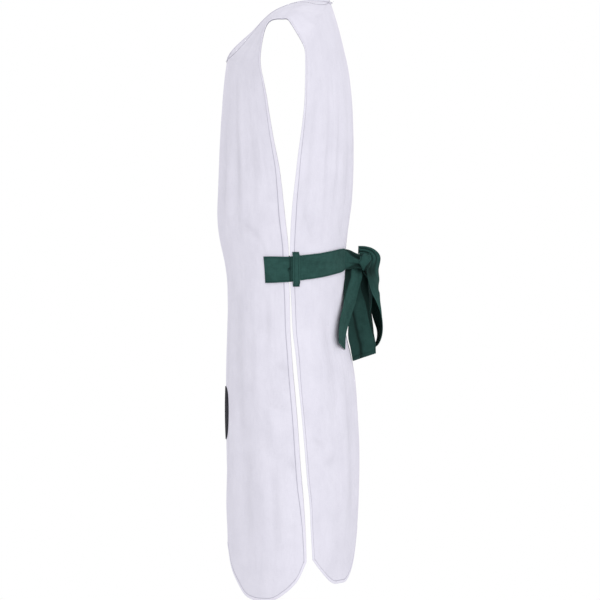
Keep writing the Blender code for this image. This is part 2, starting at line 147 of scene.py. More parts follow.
SECTIONS = np.array(
    [level_row(-1, row) for row in reversed(FRONT_BODY)]
    + YOKE
    + [level_row(1, row) for row in BACK_BODY]
)
print(len(SECTIONS), "sections, from station", SECTIONS[0, 0], "to", SECTIONS[-1, 0])

# %% [markdown]
# ## From sections to points
#
# Between the rows of a table the values follow a cubic, whose slope at each row is that of the parabola
# through it and its neighbours. A section is an arc of an ellipse: it turns through its angle from the
# middle, or the neckline, to the side edge.

# %% The surface as a function of station and share


def through(knots, values, at):
    """value = cubic between two rows, from their values and slopes, evaluated where `at` falls."""
    knots = np.asarray(knots, float)
    values = np.asarray(values, float)
    at = np.asarray(at, float)
    slopes = np.gradient(values, knots, axis=0)
    i = np.clip(np.searchsorted(knots, at, side="right") - 1, 0, len(knots) - 2)
    span = (knots[i + 1] - knots[i])[..., None]
    f = (at - knots[i])[..., None] / span
    ends = (1 + 2 * f) * (1 - f) ** 2 * values[i] + f * f * (3 - 2 * f) * values[i + 1]
    return ends + span * f * (1 - f) * ((1 - f) * slopes[i] - f * slopes[i + 1])


# %% Where a section starts, and the cloth itself


def unit(vectors):
    """vector / its length"""
    return vectors / np.maximum(np.linalg.norm(vectors, axis=-1, keepdims=True), 1e-12)


def mirrored_row(row, middle):
    """station = 2 middle - station, x = -x: the neckline goes on past the middle."""
    station, x, depth, drop = row
    return np.array([2 * middle - station, -x, depth, drop])


def inner_line(station):
    """x, depth and drop where a section starts: the neckline, or the middle of a panel."""
    station = np.asarray(station, float)
    names = SECTIONS[:, 0]
    front = SECTIONS[names <= FRONT_NECK, :4]
    back = SECTIONS[names >= BACK_NECK, :4]
    neck = SECTIONS[(names >= FRONT_NECK) & (names <= BACK_NECK), :4]
    neck = np.vstack([mirrored_row(neck[1], FRONT_NECK), neck, mirrored_row(neck[-2], BACK_NECK)])
    lines = [through(part[:, 0], part[:, 1:], station) for part in (front, neck, back)]
    found = np.where((station <= FRONT_NECK)[..., None], lines[0], lines[1])
    return np.where((station >= BACK_NECK)[..., None], lines[2], found)


def cloth(station, share):
    """x = edge_x sin(angle) / sin(turn); depth and drop move from inner to edge as
    (cos(start) - cos(angle)) / (cos(start) - cos(turn)), where angle runs from start to turn."""
    station, share = np.broadcast_arrays(station, share)
    inner_x, inner_depth, inner_drop = np.moveaxis(inner_line(station), -1, 0)
    edge = through(SECTIONS[:, 0], SECTIONS[:, 4:], station)
    edge_x, edge_depth, edge_drop, turn = np.moveaxis(edge, -1, 0)
    turn = np.radians(turn)
    start = np.arcsin(inner_x * np.sin(turn) / edge_x)
    angle = start + (turn - start) * share
    along = (np.cos(start) - np.cos(angle)) / (np.cos(start) - np.cos(turn))
    x = edge_x * np.sin(angle) / np.sin(turn)
    depth = inner_depth + (edge_depth - inner_depth) * along
    drop = inner_drop + (edge_drop - inner_drop) * along
    return np.stack([x, depth, NECK_POINT_HEIGHT - drop], axis=-1)


# %% Directions and measures on the cloth


def facing(station, share):
    """outward = (a small step down the cloth) x (a small step back along its section)"""
    here = cloth(station, share)
    across = cloth(station, share - 0.001) - here
    down = cloth(station + 0.1, share) - here
    return unit(np.cross(down, across))


def speed(station, share):
    """millimetres of cloth for each unit of share"""
    ahead, behind = cloth(station, share + 0.001), cloth(station, share - 0.001)
    return np.linalg.norm(ahead - behind, axis=-1) / 0.002


across = cloth(np.full(60, -300.0), np.linspace(0, 1, 60))
half_girth = np.linalg.norm(np.diff(across, axis=0), axis=1).sum()
print("half the front panel's width at a drop of 300 mm:", round(half_girth, 1), "mm")

# %% [markdown]
# ## Creases, placed one by one
#
# Noise gives cloth that looks like crumpled paper. Worn cotton has a few long soft troughs and ridges
# that start where it is held, so each crease here is one line of a table. The two sides of the body
# differ, as they do on a person.

# %% The table of creases and their relief
# share and drop where it starts, share and drop where it ends, bow, half-width, height
FRONT_CREASES = [
    (0.52, 150, 0.50, 440, 6, 11, -1.6),
    (0.62, 165, 0.60, 400, -4, 10, 1.2),
    (0.74, 180, 0.71, 380, 3, 8, -0.9),
    (0.43, 200, 0.40, 430, -6, 13, 1.3),
    (0.82, 220, 0.80, 350, 2, 6, 0.7),
    (0.30, 230, 0.27, 420, 5, 14, -1.3),
    (0.14, 180, 0.16, 400, -5, 14, 1.1),
    (0.00, 190, -0.03, 430, 4, 12, -1),
    (0.55, 405, 0.78, 447, 6, 8, -2.2),
    (0.60, 425, 0.86, 452, 5, 8, 1.5),
    (0.30, 440, 0.62, 456, -4, 7, 0.8),
    (0.60, 520, 0.60, 760, 8, 16, 1.5),
    (0.40, 525, 0.43, 800, -8, 17, -1.8),
    (0.76, 520, 0.74, 640, 4, 9, -0.9),
    (0.82, 655, 0.95, 667, 3, 7, -1.5),
    (0.78, 690, 0.96, 722, -4, 8, 1.3),
    (0.76, 730, 0.765, 815, 2, 10, 1.8),
    (0.70, 728, 0.97, 735, 1, 7, -1.2),
    (0.64, 790, 0.62, 980, 6, 15, 1.6),
    (0.52, 760, 0.50, 1000, -8, 14, -1.5),
    (0.74, 830, 0.73, 1000, 5, 11, -1.2),
    (0.88, 832, 0.985, 848, 3, 6, -1.8),
    (0.86, 940, 0.95, 952, 2, 7, 1.1),
    (0.30, 700, 0.26, 960, 8, 18, 1.8),
    (0.14, 540, 0.10, 900, -8, 16, -1.4),
    (-0.05, 560, -0.02, 840, 6, 15, 1.2),
    (-0.16, 190, -0.20, 420, 5, 12, 1),
    (-0.33, 210, -0.30, 440, -5, 12, -1.4),
    (-0.46, 160, -0.49, 390, 4, 11, 1.2),
    (-0.60, 170, -0.58, 430, -4, 10, -1.3),
    (-0.75, 200, -0.72, 360, 3, 8, 0.9),
    (-0.52, 420, -0.80, 452, 5, 6, -1.3),
    (-0.34, 520, -0.38, 860, 9, 17, 1.7),
    (-0.55, 540, -0.52, 900, -8, 16, -1.6),
    (-0.72, 600, -0.75, 960, 6, 13, 1.2),
    (-0.22, 620, -0.18, 940, -7, 15, -1.3),
    (-0.86, 760, -0.95, 774, 3, 7, -1.3),
]
BACK_CREASES = [
    (0.86, 180, 0.84, 400, 3, 7, -1.1),
    (0.74, 190, 0.70, 400, -3, 7, 1),
    (0.66, 175, 0.645, 390, 3, 6, -1.2),
    (0.57, 200, 0.56, 430, -3, 6, 0.9),
    (0.50, 215, 0.49, 330, 2, 5, -1.1),
    (0.40, 180, 0.42, 420, 4, 9, 1.1),
    (0.30, 200, 0.31, 430, -4, 9, -1.2),
    (0.18, 190, 0.15, 400, 4, 11, 1.1),
    (0.05, 220, 0.08, 420, -4, 10, -0.9),
    (0.92, 350, 0.70, 442, 6, 7, -0.9),
    (0.80, 410, 0.50, 445, -5, 6, 0.8),
    (0.44, 380, 0.22, 440, 4, 8, -1),
    (0.78, 520, 0.74, 640, 4, 9, 0.8),
    (0.60, 530, 0.62, 760, -7, 15, -1.4),
    (0.84, 640, 0.80, 800, 5, 11, 1),
    (0.80, 832, 0.64, 822, 5, 8, -1.8),
    (0.93, 788, 0.76, 806, -4, 7, -1.5),
    (0.70, 850, 0.68, 990, 5, 13, 1.2),
    (0.50, 680, 0.52, 960, -8, 16, 1.5),
    (0.36, 660, 0.34, 960, 8, 16, -1.7),
    (0.20, 700, 0.18, 940, -6, 15, 1.3),
    (0.02, 680, 0.03, 900, 6, 15, -1.2),
    (-0.08, 190, -0.10, 410, 4, 10, 1),
    (-0.24, 200, -0.26, 430, -4, 10, -1.2),
    (-0.38, 180, -0.36, 400, 4, 9, 1),
    (-0.52, 190, -0.55, 420, -3, 8, -1.2),
    (-0.66, 200, -0.63, 400, 3, 8, 1),
    (-0.80, 220, -0.78, 380, -3, 7, -0.9),
    (-0.30, 430, -0.60, 446, 5, 6, -0.9),
    (-0.18, 680, -0.22, 940, 7, 16, 1.4),
    (-0.40, 640, -0.38, 960, -7, 16, -1.6),
    (-0.60, 560, -0.62, 920, 7, 15, 1.3),
    (-0.78, 640, -0.75, 860, -5, 12, -1.1),
    (-0.90, 820, -0.76, 838, 3, 8, 1.3),
]
print(len(FRONT_CREASES), "creases in front and", len(BACK_CREASES), "behind")

# %% The relief of the creases
# the width in millimetres that a share of 1 stands for, the heights' factor, and the belt's place
CREASE_GIRTH, RELIEF = 250.0, 1.5
BELT_DROP, BELT_REACH = 483.0, 40.0


def relief(creases, across_share, drop):
    """sum of height * exp(-(distance from the bowed line / half-width)^2) * sin(pi * way along it)^0.6,
    and nothing under the belt, where exp(-((drop - belt) / reach)^6) is near 1"""
    table = np.array(creases, float).T
    start_u, start_v, end_u, end_v, bow, half_width, height = table
    u = across_share[..., None] * CREASE_GIRTH
    v = drop[..., None]
    step_u, step_v = (end_u - start_u) * CREASE_GIRTH, end_v - start_v
    length = np.hypot(step_u, step_v)
    from_u, from_v = u - start_u * CREASE_GIRTH, v - start_v
    way = (from_u * step_u + from_v * step_v) / length**2
    off = (from_u * step_v - from_v * step_u) / length
    inside = np.clip(way, 0, 1)
    off = off - bow * 4 * inside * (1 - inside)
    total = (height * np.exp(-((off / half_width) ** 2)) * np.sin(np.pi * inside) ** 0.6).sum(-1)
    return RELIEF * total * (1 - np.exp(-(((drop - BELT_DROP) / BELT_REACH) ** 6)))


deepest = relief(FRONT_CREASES, np.linspace(-1, 1, 300)[None], np.linspace(150, 1000, 300)[:, None]).min()
print("deepest crease in front:", round(-deepest, 1), "mm")

# %% [markdown]
# ## Hems
#
# The cloth is turned in along every free edge and sewn down. Outside, that shows as a line of stitches
# in a shallow groove, with the doubled cloth a little fuller beside it. Inside, the turned edge is a
# step. Both are worked out from one number: how far a point is from the nearest edge, on a scale where
# the stitches are always at 8. The turned cloth is narrow round the armholes and wide above the belt.

# %% The hems' widths, and distances from the edges
HEM, BOTTOM_HEM = 8.0, 5.5
WALL, HEM_WALL, HEM_FULLNESS = 0.9, 1.6, 0.3
GROOVE_DEPTH, GROOVE_WIDTH, EDGE_ROUND = 0.55, 0.9, 0.8
HEM_STEPS = np.array([0.0, 0.12, 0.45, 1.0, 2.4, 4.4, 6.2, 7.0, 7.5, 8.0, 8.5, 9.0, 10.2, 12.0])
# drop, width of the hem beside the front's edge and beside the back's, in millimetres
SIDE_HEMS = np.array([
    (30, 3.5, 3.0), (110, 3.5, 3.5), (190, 4.5, 4.0), (300, 7.5, 6.5), (390, 11.0, 9.0), (480, 10.0, 8.0),
    (625, 8.0, 6.5), (700, 8.5, 4.5), (880, 9.0, 4.0), (950, 5.5, 4.0), (1080, 4.0, 4.0),
])


def side_hem(stations):
    """width of the side hem, from its table, at the station's drop"""
    drops, front_widths, back_widths = SIDE_HEMS.T
    drop = np.abs(stations)
    return np.where(stations < 0, np.interp(drop, drops, front_widths), np.interp(drop, drops, back_widths))


def hem_line(hem, share):
    """drop of the hem at a share, through the hem's own table"""
    return through([row[0] for row in hem], [row[1:] for row in hem], np.abs(share))[..., 0]


def hem_slant(hem, share):
    """length along the hem for each millimetre across the cloth: sqrt(1 + (fall / way across)^2)"""
    fall = (hem_line(hem, share + 0.002) - hem_line(hem, share - 0.002)) / (0.004 * CREASE_GIRTH)
    return np.sqrt(1 + fall**2)


def neck_distance(points):
    """distance in space to the nearest of a row of points on the neckline"""
    line = cloth(np.linspace(FRONT_NECK, BACK_NECK, 500), np.zeros(500)).astype(np.float32)
    apart = points.astype(np.float32)[:, None] - line[None]
    return np.sqrt((apart**2).sum(-1).min(1))


# %% The profile across a hem


def rounding(distance, radius):
    """how far a rounded edge falls away: radius (1 - sqrt(1 - (1 - distance / radius)^2))"""
    inward = np.clip(1 - distance / radius, 0, 1)
    return radius * (1 - np.sqrt(1 - inward**2))


def soft_step(value, start, stop):
    """0 before start, 1 after stop, and 3 f^2 - 2 f^3 between them"""
    f = np.clip((value - start) / (stop - start), 0, 1)
    return f * f * (3 - 2 * f)


def hump(value, middle, width):
    """exp(-((value - middle) / width)^2): 1 at the middle and next to nothing two widths away"""
    return np.exp(-(((value - middle) / width) ** 2))


def hem_profile(edge_distance):
    """outer = the fullness of the doubled cloth - a groove at the stitches - the rounding of the edge;
    wall = WALL inside the hem's line and HEM_WALL outside it"""
    doubled = 1 - soft_step(edge_distance, HEM - 0.6, HEM + 0.6)
    fold = rounding(edge_distance, EDGE_ROUND)
    outer = HEM_FULLNESS * doubled - GROOVE_DEPTH * hump(edge_distance, HEM, GROOVE_WIDTH) - fold
    wall = WALL + (HEM_WALL - WALL) * doubled - 2 * fold
    return outer, wall


print("wall at the edge, in the hem and in the cloth:", hem_profile(np.array([0.0, 4.0, 30.0]))[1].round(2))

# %% [markdown]
# ## From grids to meshes
#
# Each half of a panel is a grid of points, and its wall is a second grid inside it. Points that fall
# together on the middle line are welded, and a strip closes the wall along every free edge, so each
# piece is one closed body. The straps and the patch are closed the same way.

# %% Faces from grids


def grid_quads(rows, columns, first=0):
    """four corners for each cell, in the order that makes the face look outwards"""
    corner = first + np.arange(rows * columns).reshape(rows, columns)
    sides = [corner[:-1, :-1], corner[:-1, 1:], corner[1:, 1:], corner[1:, :-1]]
    return np.stack([side.ravel() for side in sides], 1)


def closed_wall(outer, inner, quads):
    """outer sheet, inner sheet turned round, and a strip between their free edges"""
    key = np.round(outer, 3)
    _, first, index = np.unique(key, axis=0, return_index=True, return_inverse=True)
    quads = index.reshape(-1)[quads]
    quads = quads[(quads != np.roll(quads, 1, axis=1)).all(axis=1)]
    count = len(first)
    ends = np.concatenate([quads[:, [k, (k + 1) % 4]] for k in range(4)])
    free = ends[~np.isin(ends[:, 0] * count + ends[:, 1], ends[:, 1] * count + ends[:, 0])]
    a, b = free.T
    rim = np.stack([b, a, a + count, b + count], 1)
    faces = np.vstack([quads, quads[:, ::-1] + count, rim])
    return np.vstack([outer[first], inner[first]]), faces, first


# %% Meshes that ride on the body


def mesh_piece(name, points, faces, material, uv=None, numbers=None):
    """A smooth mesh from millimetres, riding on the body, a UV map and named numbers."""
    mesh = bpy.data.meshes.new(name)
    mesh.from_pydata((points * MM).tolist(), [], faces)
    if uv is not None:
        corners = np.empty(len(mesh.loops), int)
        mesh.loops.foreach_get("vertex_index", corners)
        mesh.uv_layers.new(name="cloth").data.foreach_set("uv", uv[corners].ravel().astype(np.float32))
    for key, values in (numbers or {}).items():
        mesh.attributes.new(key, "FLOAT", "POINT").data.foreach_set("value", values.astype(np.float32))
    mesh.materials.append(material)
    mesh.shade_smooth()
    made = bpy.data.objects.new(name, mesh)
    bpy.context.scene.collection.objects.link(made)
    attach(made, "root")
    triangles = sum(len(polygon.vertices) - 2 for polygon in mesh.polygons)
    print(name, len(mesh.vertices), "points,", triangles, "triangles")
    return made


def sheet_piece(name, outer, inner, quads, material, uv, numbers):
    """A closed wall as a mesh. Each of the numbers has its values on the outer sheet and on the inner."""
    points, faces, first = closed_wall(outer.reshape(-1, 3), inner.reshape(-1, 3), quads)
    numbers = {key: np.concatenate([part.ravel()[first] for part in both]) for key, both in numbers.items()}
    uv = np.vstack([uv.reshape(-1, 2)[first]] * 2)
    return mesh_piece(name, points, faces.tolist(), material, uv, numbers)


def on_side(grid, hand):
    """the grid as it is on the left side, and its mirror image on the right"""
    return grid if hand > 0 else grid[::-1] * [-1.0, 1.0, 1.0]


SIDES = {"left": 1, "right": -1}


# %% [markdown]
# ## Shader maths in plain Python
#
# A weave is a formula, and a tree of Math nodes hides it. A small class wraps a socket, so that an
# expression such as `1 - mask` adds the nodes. Every other node comes from one method.

# %% A wrapped socket


class Term:
    """One number that varies over a surface."""

    def __init__(self, maker, socket):
        self.maker, self.socket = maker, socket

    def join(self, operation, *others):
        return self.maker.math(operation, self, *others)

    def __add__(self, other):
        return self.join("ADD", other)

    def __sub__(self, other):
        return self.join("SUBTRACT", other)

    def __rsub__(self, other):
        return self.maker.math("SUBTRACT", other, self)

    def __mul__(self, other):
        return self.join("MULTIPLY", other)

    def __truediv__(self, other):
        return self.join("DIVIDE", other)

    def __rtruediv__(self, other):
        return self.maker.math("DIVIDE", other, self)

    __radd__ = __add__
    __rmul__ = __mul__


# %% A material and its node maker


class Finish:
    """A new material and the nodes that it is made of."""

    def __init__(self, name, roughness):
        self.material = bpy.data.materials.new(name)
        self.material.use_nodes = True
        self.tree = self.material.node_tree
        self.shader = self.tree.nodes["Principled BSDF"]
        self.shader.inputs["Roughness"].default_value = roughness
        self.shader.inputs["Specular IOR Level"].default_value = 0.1

    def node(self, kind, settings=None, **sockets):
        """One node: its settings first, then the values or links of its sockets."""
        made = self.tree.nodes.new(kind)
        for key, value in (settings or {}).items():
            setattr(made, key, value)
        for key, value in sockets.items():
            self.give(made.inputs[int(key[1:]) if key[0] == "i" and key[1:].isdigit() else key], value)
        return made

    def give(self, socket, value):
        if isinstance(value, Term):
            value = value.socket
        if isinstance(value, bpy.types.NodeSocket):
            self.tree.links.new(value, socket)
        else:
            socket.default_value = value

    def math(self, operation, *values):
        sockets = {f"i{k}": value for k, value in enumerate(values)}
        return Term(self, self.node("ShaderNodeMath", {"operation": operation}, **sockets).outputs[0])

    def mix(self, factor, first, second):
        """first where the factor is 0 and second where it is 1"""
        made = self.node("ShaderNodeMix", {"data_type": "RGBA"}, Factor=factor)
        self.give(made.inputs[6], first)
        self.give(made.inputs[7], second)
        return made.outputs[2]

    def bump(self, height, distance, strength, under=None):
        made = self.node("ShaderNodeBump", Height=height, Distance=distance, Strength=strength)
        if under is not None:
            self.give(made.inputs["Normal"], under)
        return made.outputs["Normal"]

    def noise(self, place, scale, detail=3.0, rough=0.5):
        made = self.node("ShaderNodeTexNoise", Vector=place, Scale=scale, Detail=detail, Roughness=rough)
        return Term(self, made.outputs[0])

    def stretched(self, place, across, along):
        """a place whose two directions are scaled apart, for a noise of threads or streaks"""
        return self.node("ShaderNodeMapping", Vector=place, Scale=(across, along, 1.0)).outputs[0]

    def number(self, name):
        """one of the mesh's named numbers"""
        return Term(self, self.node("ShaderNodeAttribute", {"attribute_name": name}).outputs["Fac"])

    def finish(self, colour, normal):
        self.give(self.shader.inputs["Base Color"], colour)
        self.give(self.shader.inputs["Normal"], normal)
        return self.material


# %% [markdown]
# ## Cotton
#
# The panels and the belt are plain-weave cotton. The weave is the product of two waves along the
# cloth's own directions, which come from the UV map in metres, so the threads bend with the cloth.
# Uneven threads, a faint cloudiness and the paler doubled hem keep it from looking like paper.

# %% The cloth materials
# the names of two numbers on the meshes: the distance from the nearest edge, and how much painted shade a
# point is given, from 0 to 1
EDGE, PAINTED_SHADE = "edge_distance", "painted_shade"
WEAVE, FOLD_SHADE = 0.0011, 0.22
STRAP_HEM, PATCH_HEM = 2.4, 3.0


def cotton(name, colour, shade, groove_painted_shade, nap, hem=HEM, mottle=0.0):
    """colour = the named colour, moved towards `shade` by clouds, streaks, mottles and threads, towards a
    painted shade colour in the groove of the stitches, and towards about a fifth of itself as painted shade
    where the mesh's painted-shade number is high; height = sin(u) sin(v) + uneven threads + soft streaks"""
    made = Finish(name, 0.9)
    place = made.node("ShaderNodeTexCoord").outputs["UV"]
    parts = made.node("ShaderNodeSeparateXYZ", Vector=place)
    u, v = Term(made, parts.outputs[0]), Term(made, parts.outputs[1])
    turn = 2 * math.pi / WEAVE
    weave = made.math("SINE", u * turn) * made.math("SINE", v * turn)
    across = made.noise(made.stretched(place, 900.0, 60.0), 1.0, 2.0)
    threads = across + made.noise(made.stretched(place, 60.0, 900.0), 1.0, 2.0) - 1.0
    clouds = made.noise(place, 16.0, 4.0, 0.6) - 0.5
    streaks = made.noise(made.stretched(place, 60.0, 11.0), 1.0, 3.0, 0.55) - 0.5
    edge = made.number(EDGE)
    # painted shade in the groove of the stitches, strongest on the hem's line
    line = made.math("MAXIMUM", 1 - made.math("ABSOLUTE", edge - hem) / 1.1, 0.0)
    doubled = made.math("LESS_THAN", edge, hem)
    uneven = clouds * 1.1 + streaks * 0.4 + (made.noise(place, 75.0, 3.0, 0.6) - 0.5) * mottle
    shading = made.math("MAXIMUM", 0.25 + weave * 0.12 + threads * nap + uneven, 0.0)
    base = made.mix(shading - doubled * 0.2, colour, shade)
    sewn = made.mix(line * 0.75, base, groove_painted_shade)
    # painted shade: about a fifth of the colour, mixed in by the painted-shade number
    deep = tuple(part * FOLD_SHADE for part in colour[:3]) + (1.0,)
    puckers = made.noise(place, 85.0, 1.0) * made.math("MAXIMUM", 1 - edge / (2.2 * hem), 0.0)
    soft = made.bump(puckers * 0.5 + streaks * 0.7 + clouds * 0.9, 0.006, 0.4)
    fine = made.bump(weave * 0.5 + threads * 0.8, 0.0003, 0.5, soft)
    return made.finish(made.mix(made.number(PAINTED_SHADE), sewn, deep), fine)


# colour, its darker tint for the uneven tone, and the painted shade in the groove of the stitches
WHITE = (0.765, 0.748, 0.838, 1.0), (0.64, 0.625, 0.71, 1.0), (0.36, 0.35, 0.43, 1.0)
GREEN = (0.0285, 0.084, 0.074, 1.0), (0.007, 0.026, 0.023, 1.0), (0.008, 0.028, 0.025, 1.0)
DARK = (0.03, 0.03, 0.037, 1.0), (0.018, 0.018, 0.024, 1.0), (0.01, 0.01, 0.013, 1.0)
white_cotton = cotton("white_cotton", *WHITE, nap=0.3)
green_cotton = cotton("green_cotton", *GREEN, nap=0.5, hem=STRAP_HEM, mottle=0.9)
dark_cotton = cotton("dark_cotton", *DARK, nap=0.4, hem=PATCH_HEM)


# %% The finish of the threads


def thread_finish(name, colour, dark):
    """twist = bands across each stitch, from a fine noise"""
    made = Finish(name, 0.7)
    twist = made.noise(made.node("ShaderNodeTexCoord").outputs["Object"], 1800.0, 1.0)
    return made.finish(made.mix(twist, colour, dark), made.bump(twist, 0.0002, 0.4))


white_thread = thread_finish("white_thread", (0.60, 0.58, 0.67, 1.0), (0.42, 0.41, 0.49, 1.0))
grey_thread = thread_finish("grey_thread", (0.33, 0.32, 0.38, 1.0), (0.22, 0.21, 0.26, 1.0))
green_thread = thread_finish("green_thread", (0.034, 0.10, 0.085, 1.0), (0.018, 0.055, 0.048, 1.0))
dark_thread = thread_finish("dark_thread", (0.05, 0.05, 0.06, 1.0), (0.025, 0.025, 0.03, 1.0))
print("materials:", [name for name in bpy.data.materials.keys() if name.endswith(("cotton", "thread"))])

# %% [markdown]
# ## The two panels
#
# A panel's rows are close together round the neckline and at the hem, where the form changes quickly,
# and its columns are close along the side edges. That spends the points where a hem has to look crisp.

# %% Where a panel's rows and columns go
MIDDLE_COLUMNS = 62
# The columns of the body's lowest row, and those of the hem's rows, are spaced as at these drops
LOWEST_DROP, HEM_DROP = 1000.0, 1020.0


def row_shares(stations):
    """share = steps from the inner line, an even run, then the same steps back from the edge"""
    from_inner = HEM_STEPS / speed(stations, 0.002)[:, None]
    from_edge = 1 - HEM_STEPS[::-1] * (side_hem(stations) / HEM / speed(stations, 0.998))[:, None]
    f = np.linspace(0, 1, MIDDLE_COLUMNS + 2)[1:-1]
    middle = from_inner[:, -1:] + (from_edge[:, :1] - from_inner[:, -1:]) * f
    return np.hstack([from_inner, middle, from_edge])


def panel_grid(side, yoke_stations, hem, body_rows):
    """stations and shares of one half, from the shoulder seam (first row) to the hem (last row)"""
    end = abs(yoke_stations[-1])
    rough_down = np.linspace(end, LOWEST_DROP, body_rows + 1)[1:]
    hem_rows = HEM_STEPS[-2::-1, None] * BOTTOM_HEM / HEM
    names = np.concatenate([np.abs(yoke_stations), rough_down, np.full(len(hem_rows), HEM_DROP)])
    share = row_shares(side * names)
    top, body = np.split(share, [len(yoke_stations)])
    bottom = hem_line(hem, body)
    slant = hem_slant(hem, body)
    down = np.linspace(0, 1, body_rows + 1)[1:, None]
    main = end + (bottom - HEM_STEPS[-1] * BOTTOM_HEM / HEM * slant - end)[:body_rows] * down
    last = bottom[body_rows:] - hem_rows * slant[body_rows:]
    return side * np.vstack([np.abs(yoke_stations)[:, None] + 0 * top, main, last]), share


# %% How far a point is from the nearest edge
# Only points nearer the neckline than this, by station and share, are measured against it in space
NECK_STATIONS, NECK_SHARES = 190, 0.45


def edge_distances(stations, share, hem, points):
    """the least of the ways to the side edge, the hem and the neckline, each x HEM / its own hem's width"""
    to_side = (1 - share) * speed(stations, 0.998) * HEM / side_hem(stations)
    to_hem = (hem_line(hem, share) - np.abs(stations)) / hem_slant(hem, share) * HEM / BOTTOM_HEM
    on_neck = (stations >= FRONT_NECK) & (stations <= BACK_NECK)
    to_neck = np.where(on_neck, share * speed(stations, 0.002), 1e3)
    near = (np.abs(stations) < NECK_STATIONS) & (share < NECK_SHARES)
    to_neck[near] = np.minimum(to_neck[near], neck_distance(points[near]))
    return np.minimum(np.minimum(to_side, to_hem), to_neck)


# %% The outer and the inner face of half a panel
# station, and the wall there against the rest: it is thin over the shoulders, where its edge would show
SHOULDER_WALL = [(0, 0.5), (80, 0.55), (180, 1.0)]
THINNEST, TROUGH_SHADE, SEAM_ROUND = 0.12, 0.07, 0.5


def half_panel(stations, share, hem, creases, hand):
    """outer point = cloth + outward (creases, fading at the edges, + hem profile); a trough gets a little
    painted shade; the wall is at its thinnest over the shoulders"""
    base = cloth(stations, share)
    normal = facing(stations, np.clip(share, 0.001, 1))
    normal[base[..., 0] < 1e-6, 0] = 0.0
    normal = unit(normal)
    distance = edge_distances(stations, share, hem, base)
    drop = np.abs(stations)
    profile, wall = hem_profile(np.minimum(distance, 1e3))
    seam_fold = rounding(drop, SEAM_ROUND)
    fade = soft_step(distance, -6.0, 26.0) * soft_step(drop, 20.0, 90.0)
    lift = relief(creases, hand * share, drop) * fade
    outer = base + normal * (lift + profile - seam_fold)[..., None]
    thin = np.interp(drop, *zip(*SHOULDER_WALL))
    inner = outer - normal * np.maximum(wall * thin - 2 * seam_fold, THINNEST)[..., None]
    turned = np.array([hand, 1.0, 1.0])
    uv = np.stack([hand * share * CREASE_GIRTH, -stations], -1) * MM
    # painted shade in the troughs of the creases
    fold = np.clip(-lift / 30.0, 0, TROUGH_SHADE)
    return outer * turned, inner * turned, uv, distance, fold, normal * turned


# %% Both panels


def make_panel(name, stations, share, hem, creases, seam_shift):
    """both halves as one piece, which is moved a little at the shoulder seam, clear of the other panel"""
    halves = []
    for hand in SIDES.values():
        grids = half_panel(stations, share, hem, creases, hand)[:5]
        halves.append([grid[:, ::-1] if hand * stations[-1, 0] < 0 else grid for grid in grids])
    outer, inner, uv, distance, fold = (np.stack(both) for both in zip(*halves))
    for sheet in (outer, inner):
        sheet[:, np.abs(stations) < 1e-6, 1] += seam_shift
    rows, columns = share.shape
    quads = np.vstack([grid_quads(rows, columns), grid_quads(rows, columns, rows * columns)])
    numbers = {EDGE: (distance, distance), PAINTED_SHADE: (fold, fold)}
    return sheet_piece(name, outer, inner, quads, white_cotton, uv, numbers)


SEAM_ROWS, SEAM_SHIFT = [0.0, 0.2, 0.6, 1.4], 0.18
front_yoke = -np.r_[SEAM_ROWS, np.linspace(3, 100, 30), np.linspace(101, 158, 58), np.linspace(161, 200, 14)]
back_yoke = np.r_[SEAM_ROWS, np.linspace(3, 84, 25), np.linspace(85, 118, 34), np.linspace(121, 240, 40)]
front_stations, front_share = panel_grid(-1, front_yoke, FRONT_HEM, 118)
back_stations, back_share = panel_grid(1, back_yoke, BACK_HEM, 112)
front = make_panel("front_cloth", front_stations, front_share, FRONT_HEM, FRONT_CREASES, -SEAM_SHIFT)
back = make_panel("back_cloth", back_stations, back_share, BACK_HEM, BACK_CREASES, SEAM_SHIFT)
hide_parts("front_panel")
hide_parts("back_panel")

# %% [markdown]
# ## Stitches
#
# A sewing machine leaves one short thread after another along the hem. Each is a small spindle with
# four sides, and all the spindles of a seam are one mesh. They follow the same surface as the cloth,
# sunk into the groove that the thread has pulled.

# %% Spindles along a line
STITCH, STITCH_GAP, THREAD, FRONT_FACING_THREAD, BACK_FACING_THREAD = 2.5, 0.9, 0.30, 0.45, 0.4
# how far the middle of a stitch stands off the cloth, by where it is
HEM_SEAT, INNER_SEAT, FACING_SEAT, STRAP_SEAT = 0.22, 0.05, 0.15, 0.12


def dashes(path, normals, thickness=THREAD):
    """points along the path by its own length, one spindle for each, as points and faces"""
    way = np.r_[0.0, np.cumsum(np.linalg.norm(np.diff(path, axis=0), axis=1))]
    count = max(int(way[-1] / (STITCH + STITCH_GAP)), 1)
    middles = (np.arange(count) + 0.5) * way[-1] / count

    def at(places, values):
        return np.stack([np.interp(places, way, column) for column in values.T], 1)

    centre, up = at(middles, path), unit(at(middles, normals))
    along = unit(at(middles + 0.4, path) - at(middles - 0.4, path))
    beside = np.cross(up, along)
    stretch = np.repeat([-0.5, -0.32, 0.32, 0.5], 4)[None, :, None] * STITCH
    girth = np.repeat([0.4, 1.0, 1.0, 0.4], 4)[None, :, None] * thickness
    angle = np.tile(np.arange(4) * math.pi / 2 + math.pi / 4, 4)[None, :, None]
    round_it = beside[:, None] * np.cos(angle) + up[:, None] * np.sin(angle)
    points = centre[:, None] + along[:, None] * stretch + round_it * girth
    corner, after = np.arange(4), (np.arange(4) + 1) % 4
    rings = [np.stack([k + corner, k + after, k + 4 + after, k + 4 + corner], 1) for k in (0, 4, 8)]
    shape = np.vstack(rings + [[[3, 2, 1, 0], [12, 13, 14, 15]]])
    faces = shape[None] + 16 * np.arange(count)[:, None, None]
    return points.reshape(-1, 3), faces.reshape(-1, 4)


def stitch_piece(name, lines, material, thickness=THREAD):
    """one mesh from several lines of stitches"""
    made = [dashes(path, normals, thickness) for path, normals in lines]
    starts = np.cumsum([0] + [len(points) for points, _ in made])[:-1]
    points = np.vstack([points for points, _ in made])
    faces = np.vstack([faces + start for (_, faces), start in zip(made, starts)])
    return mesh_piece(name, points, faces.tolist(), material)


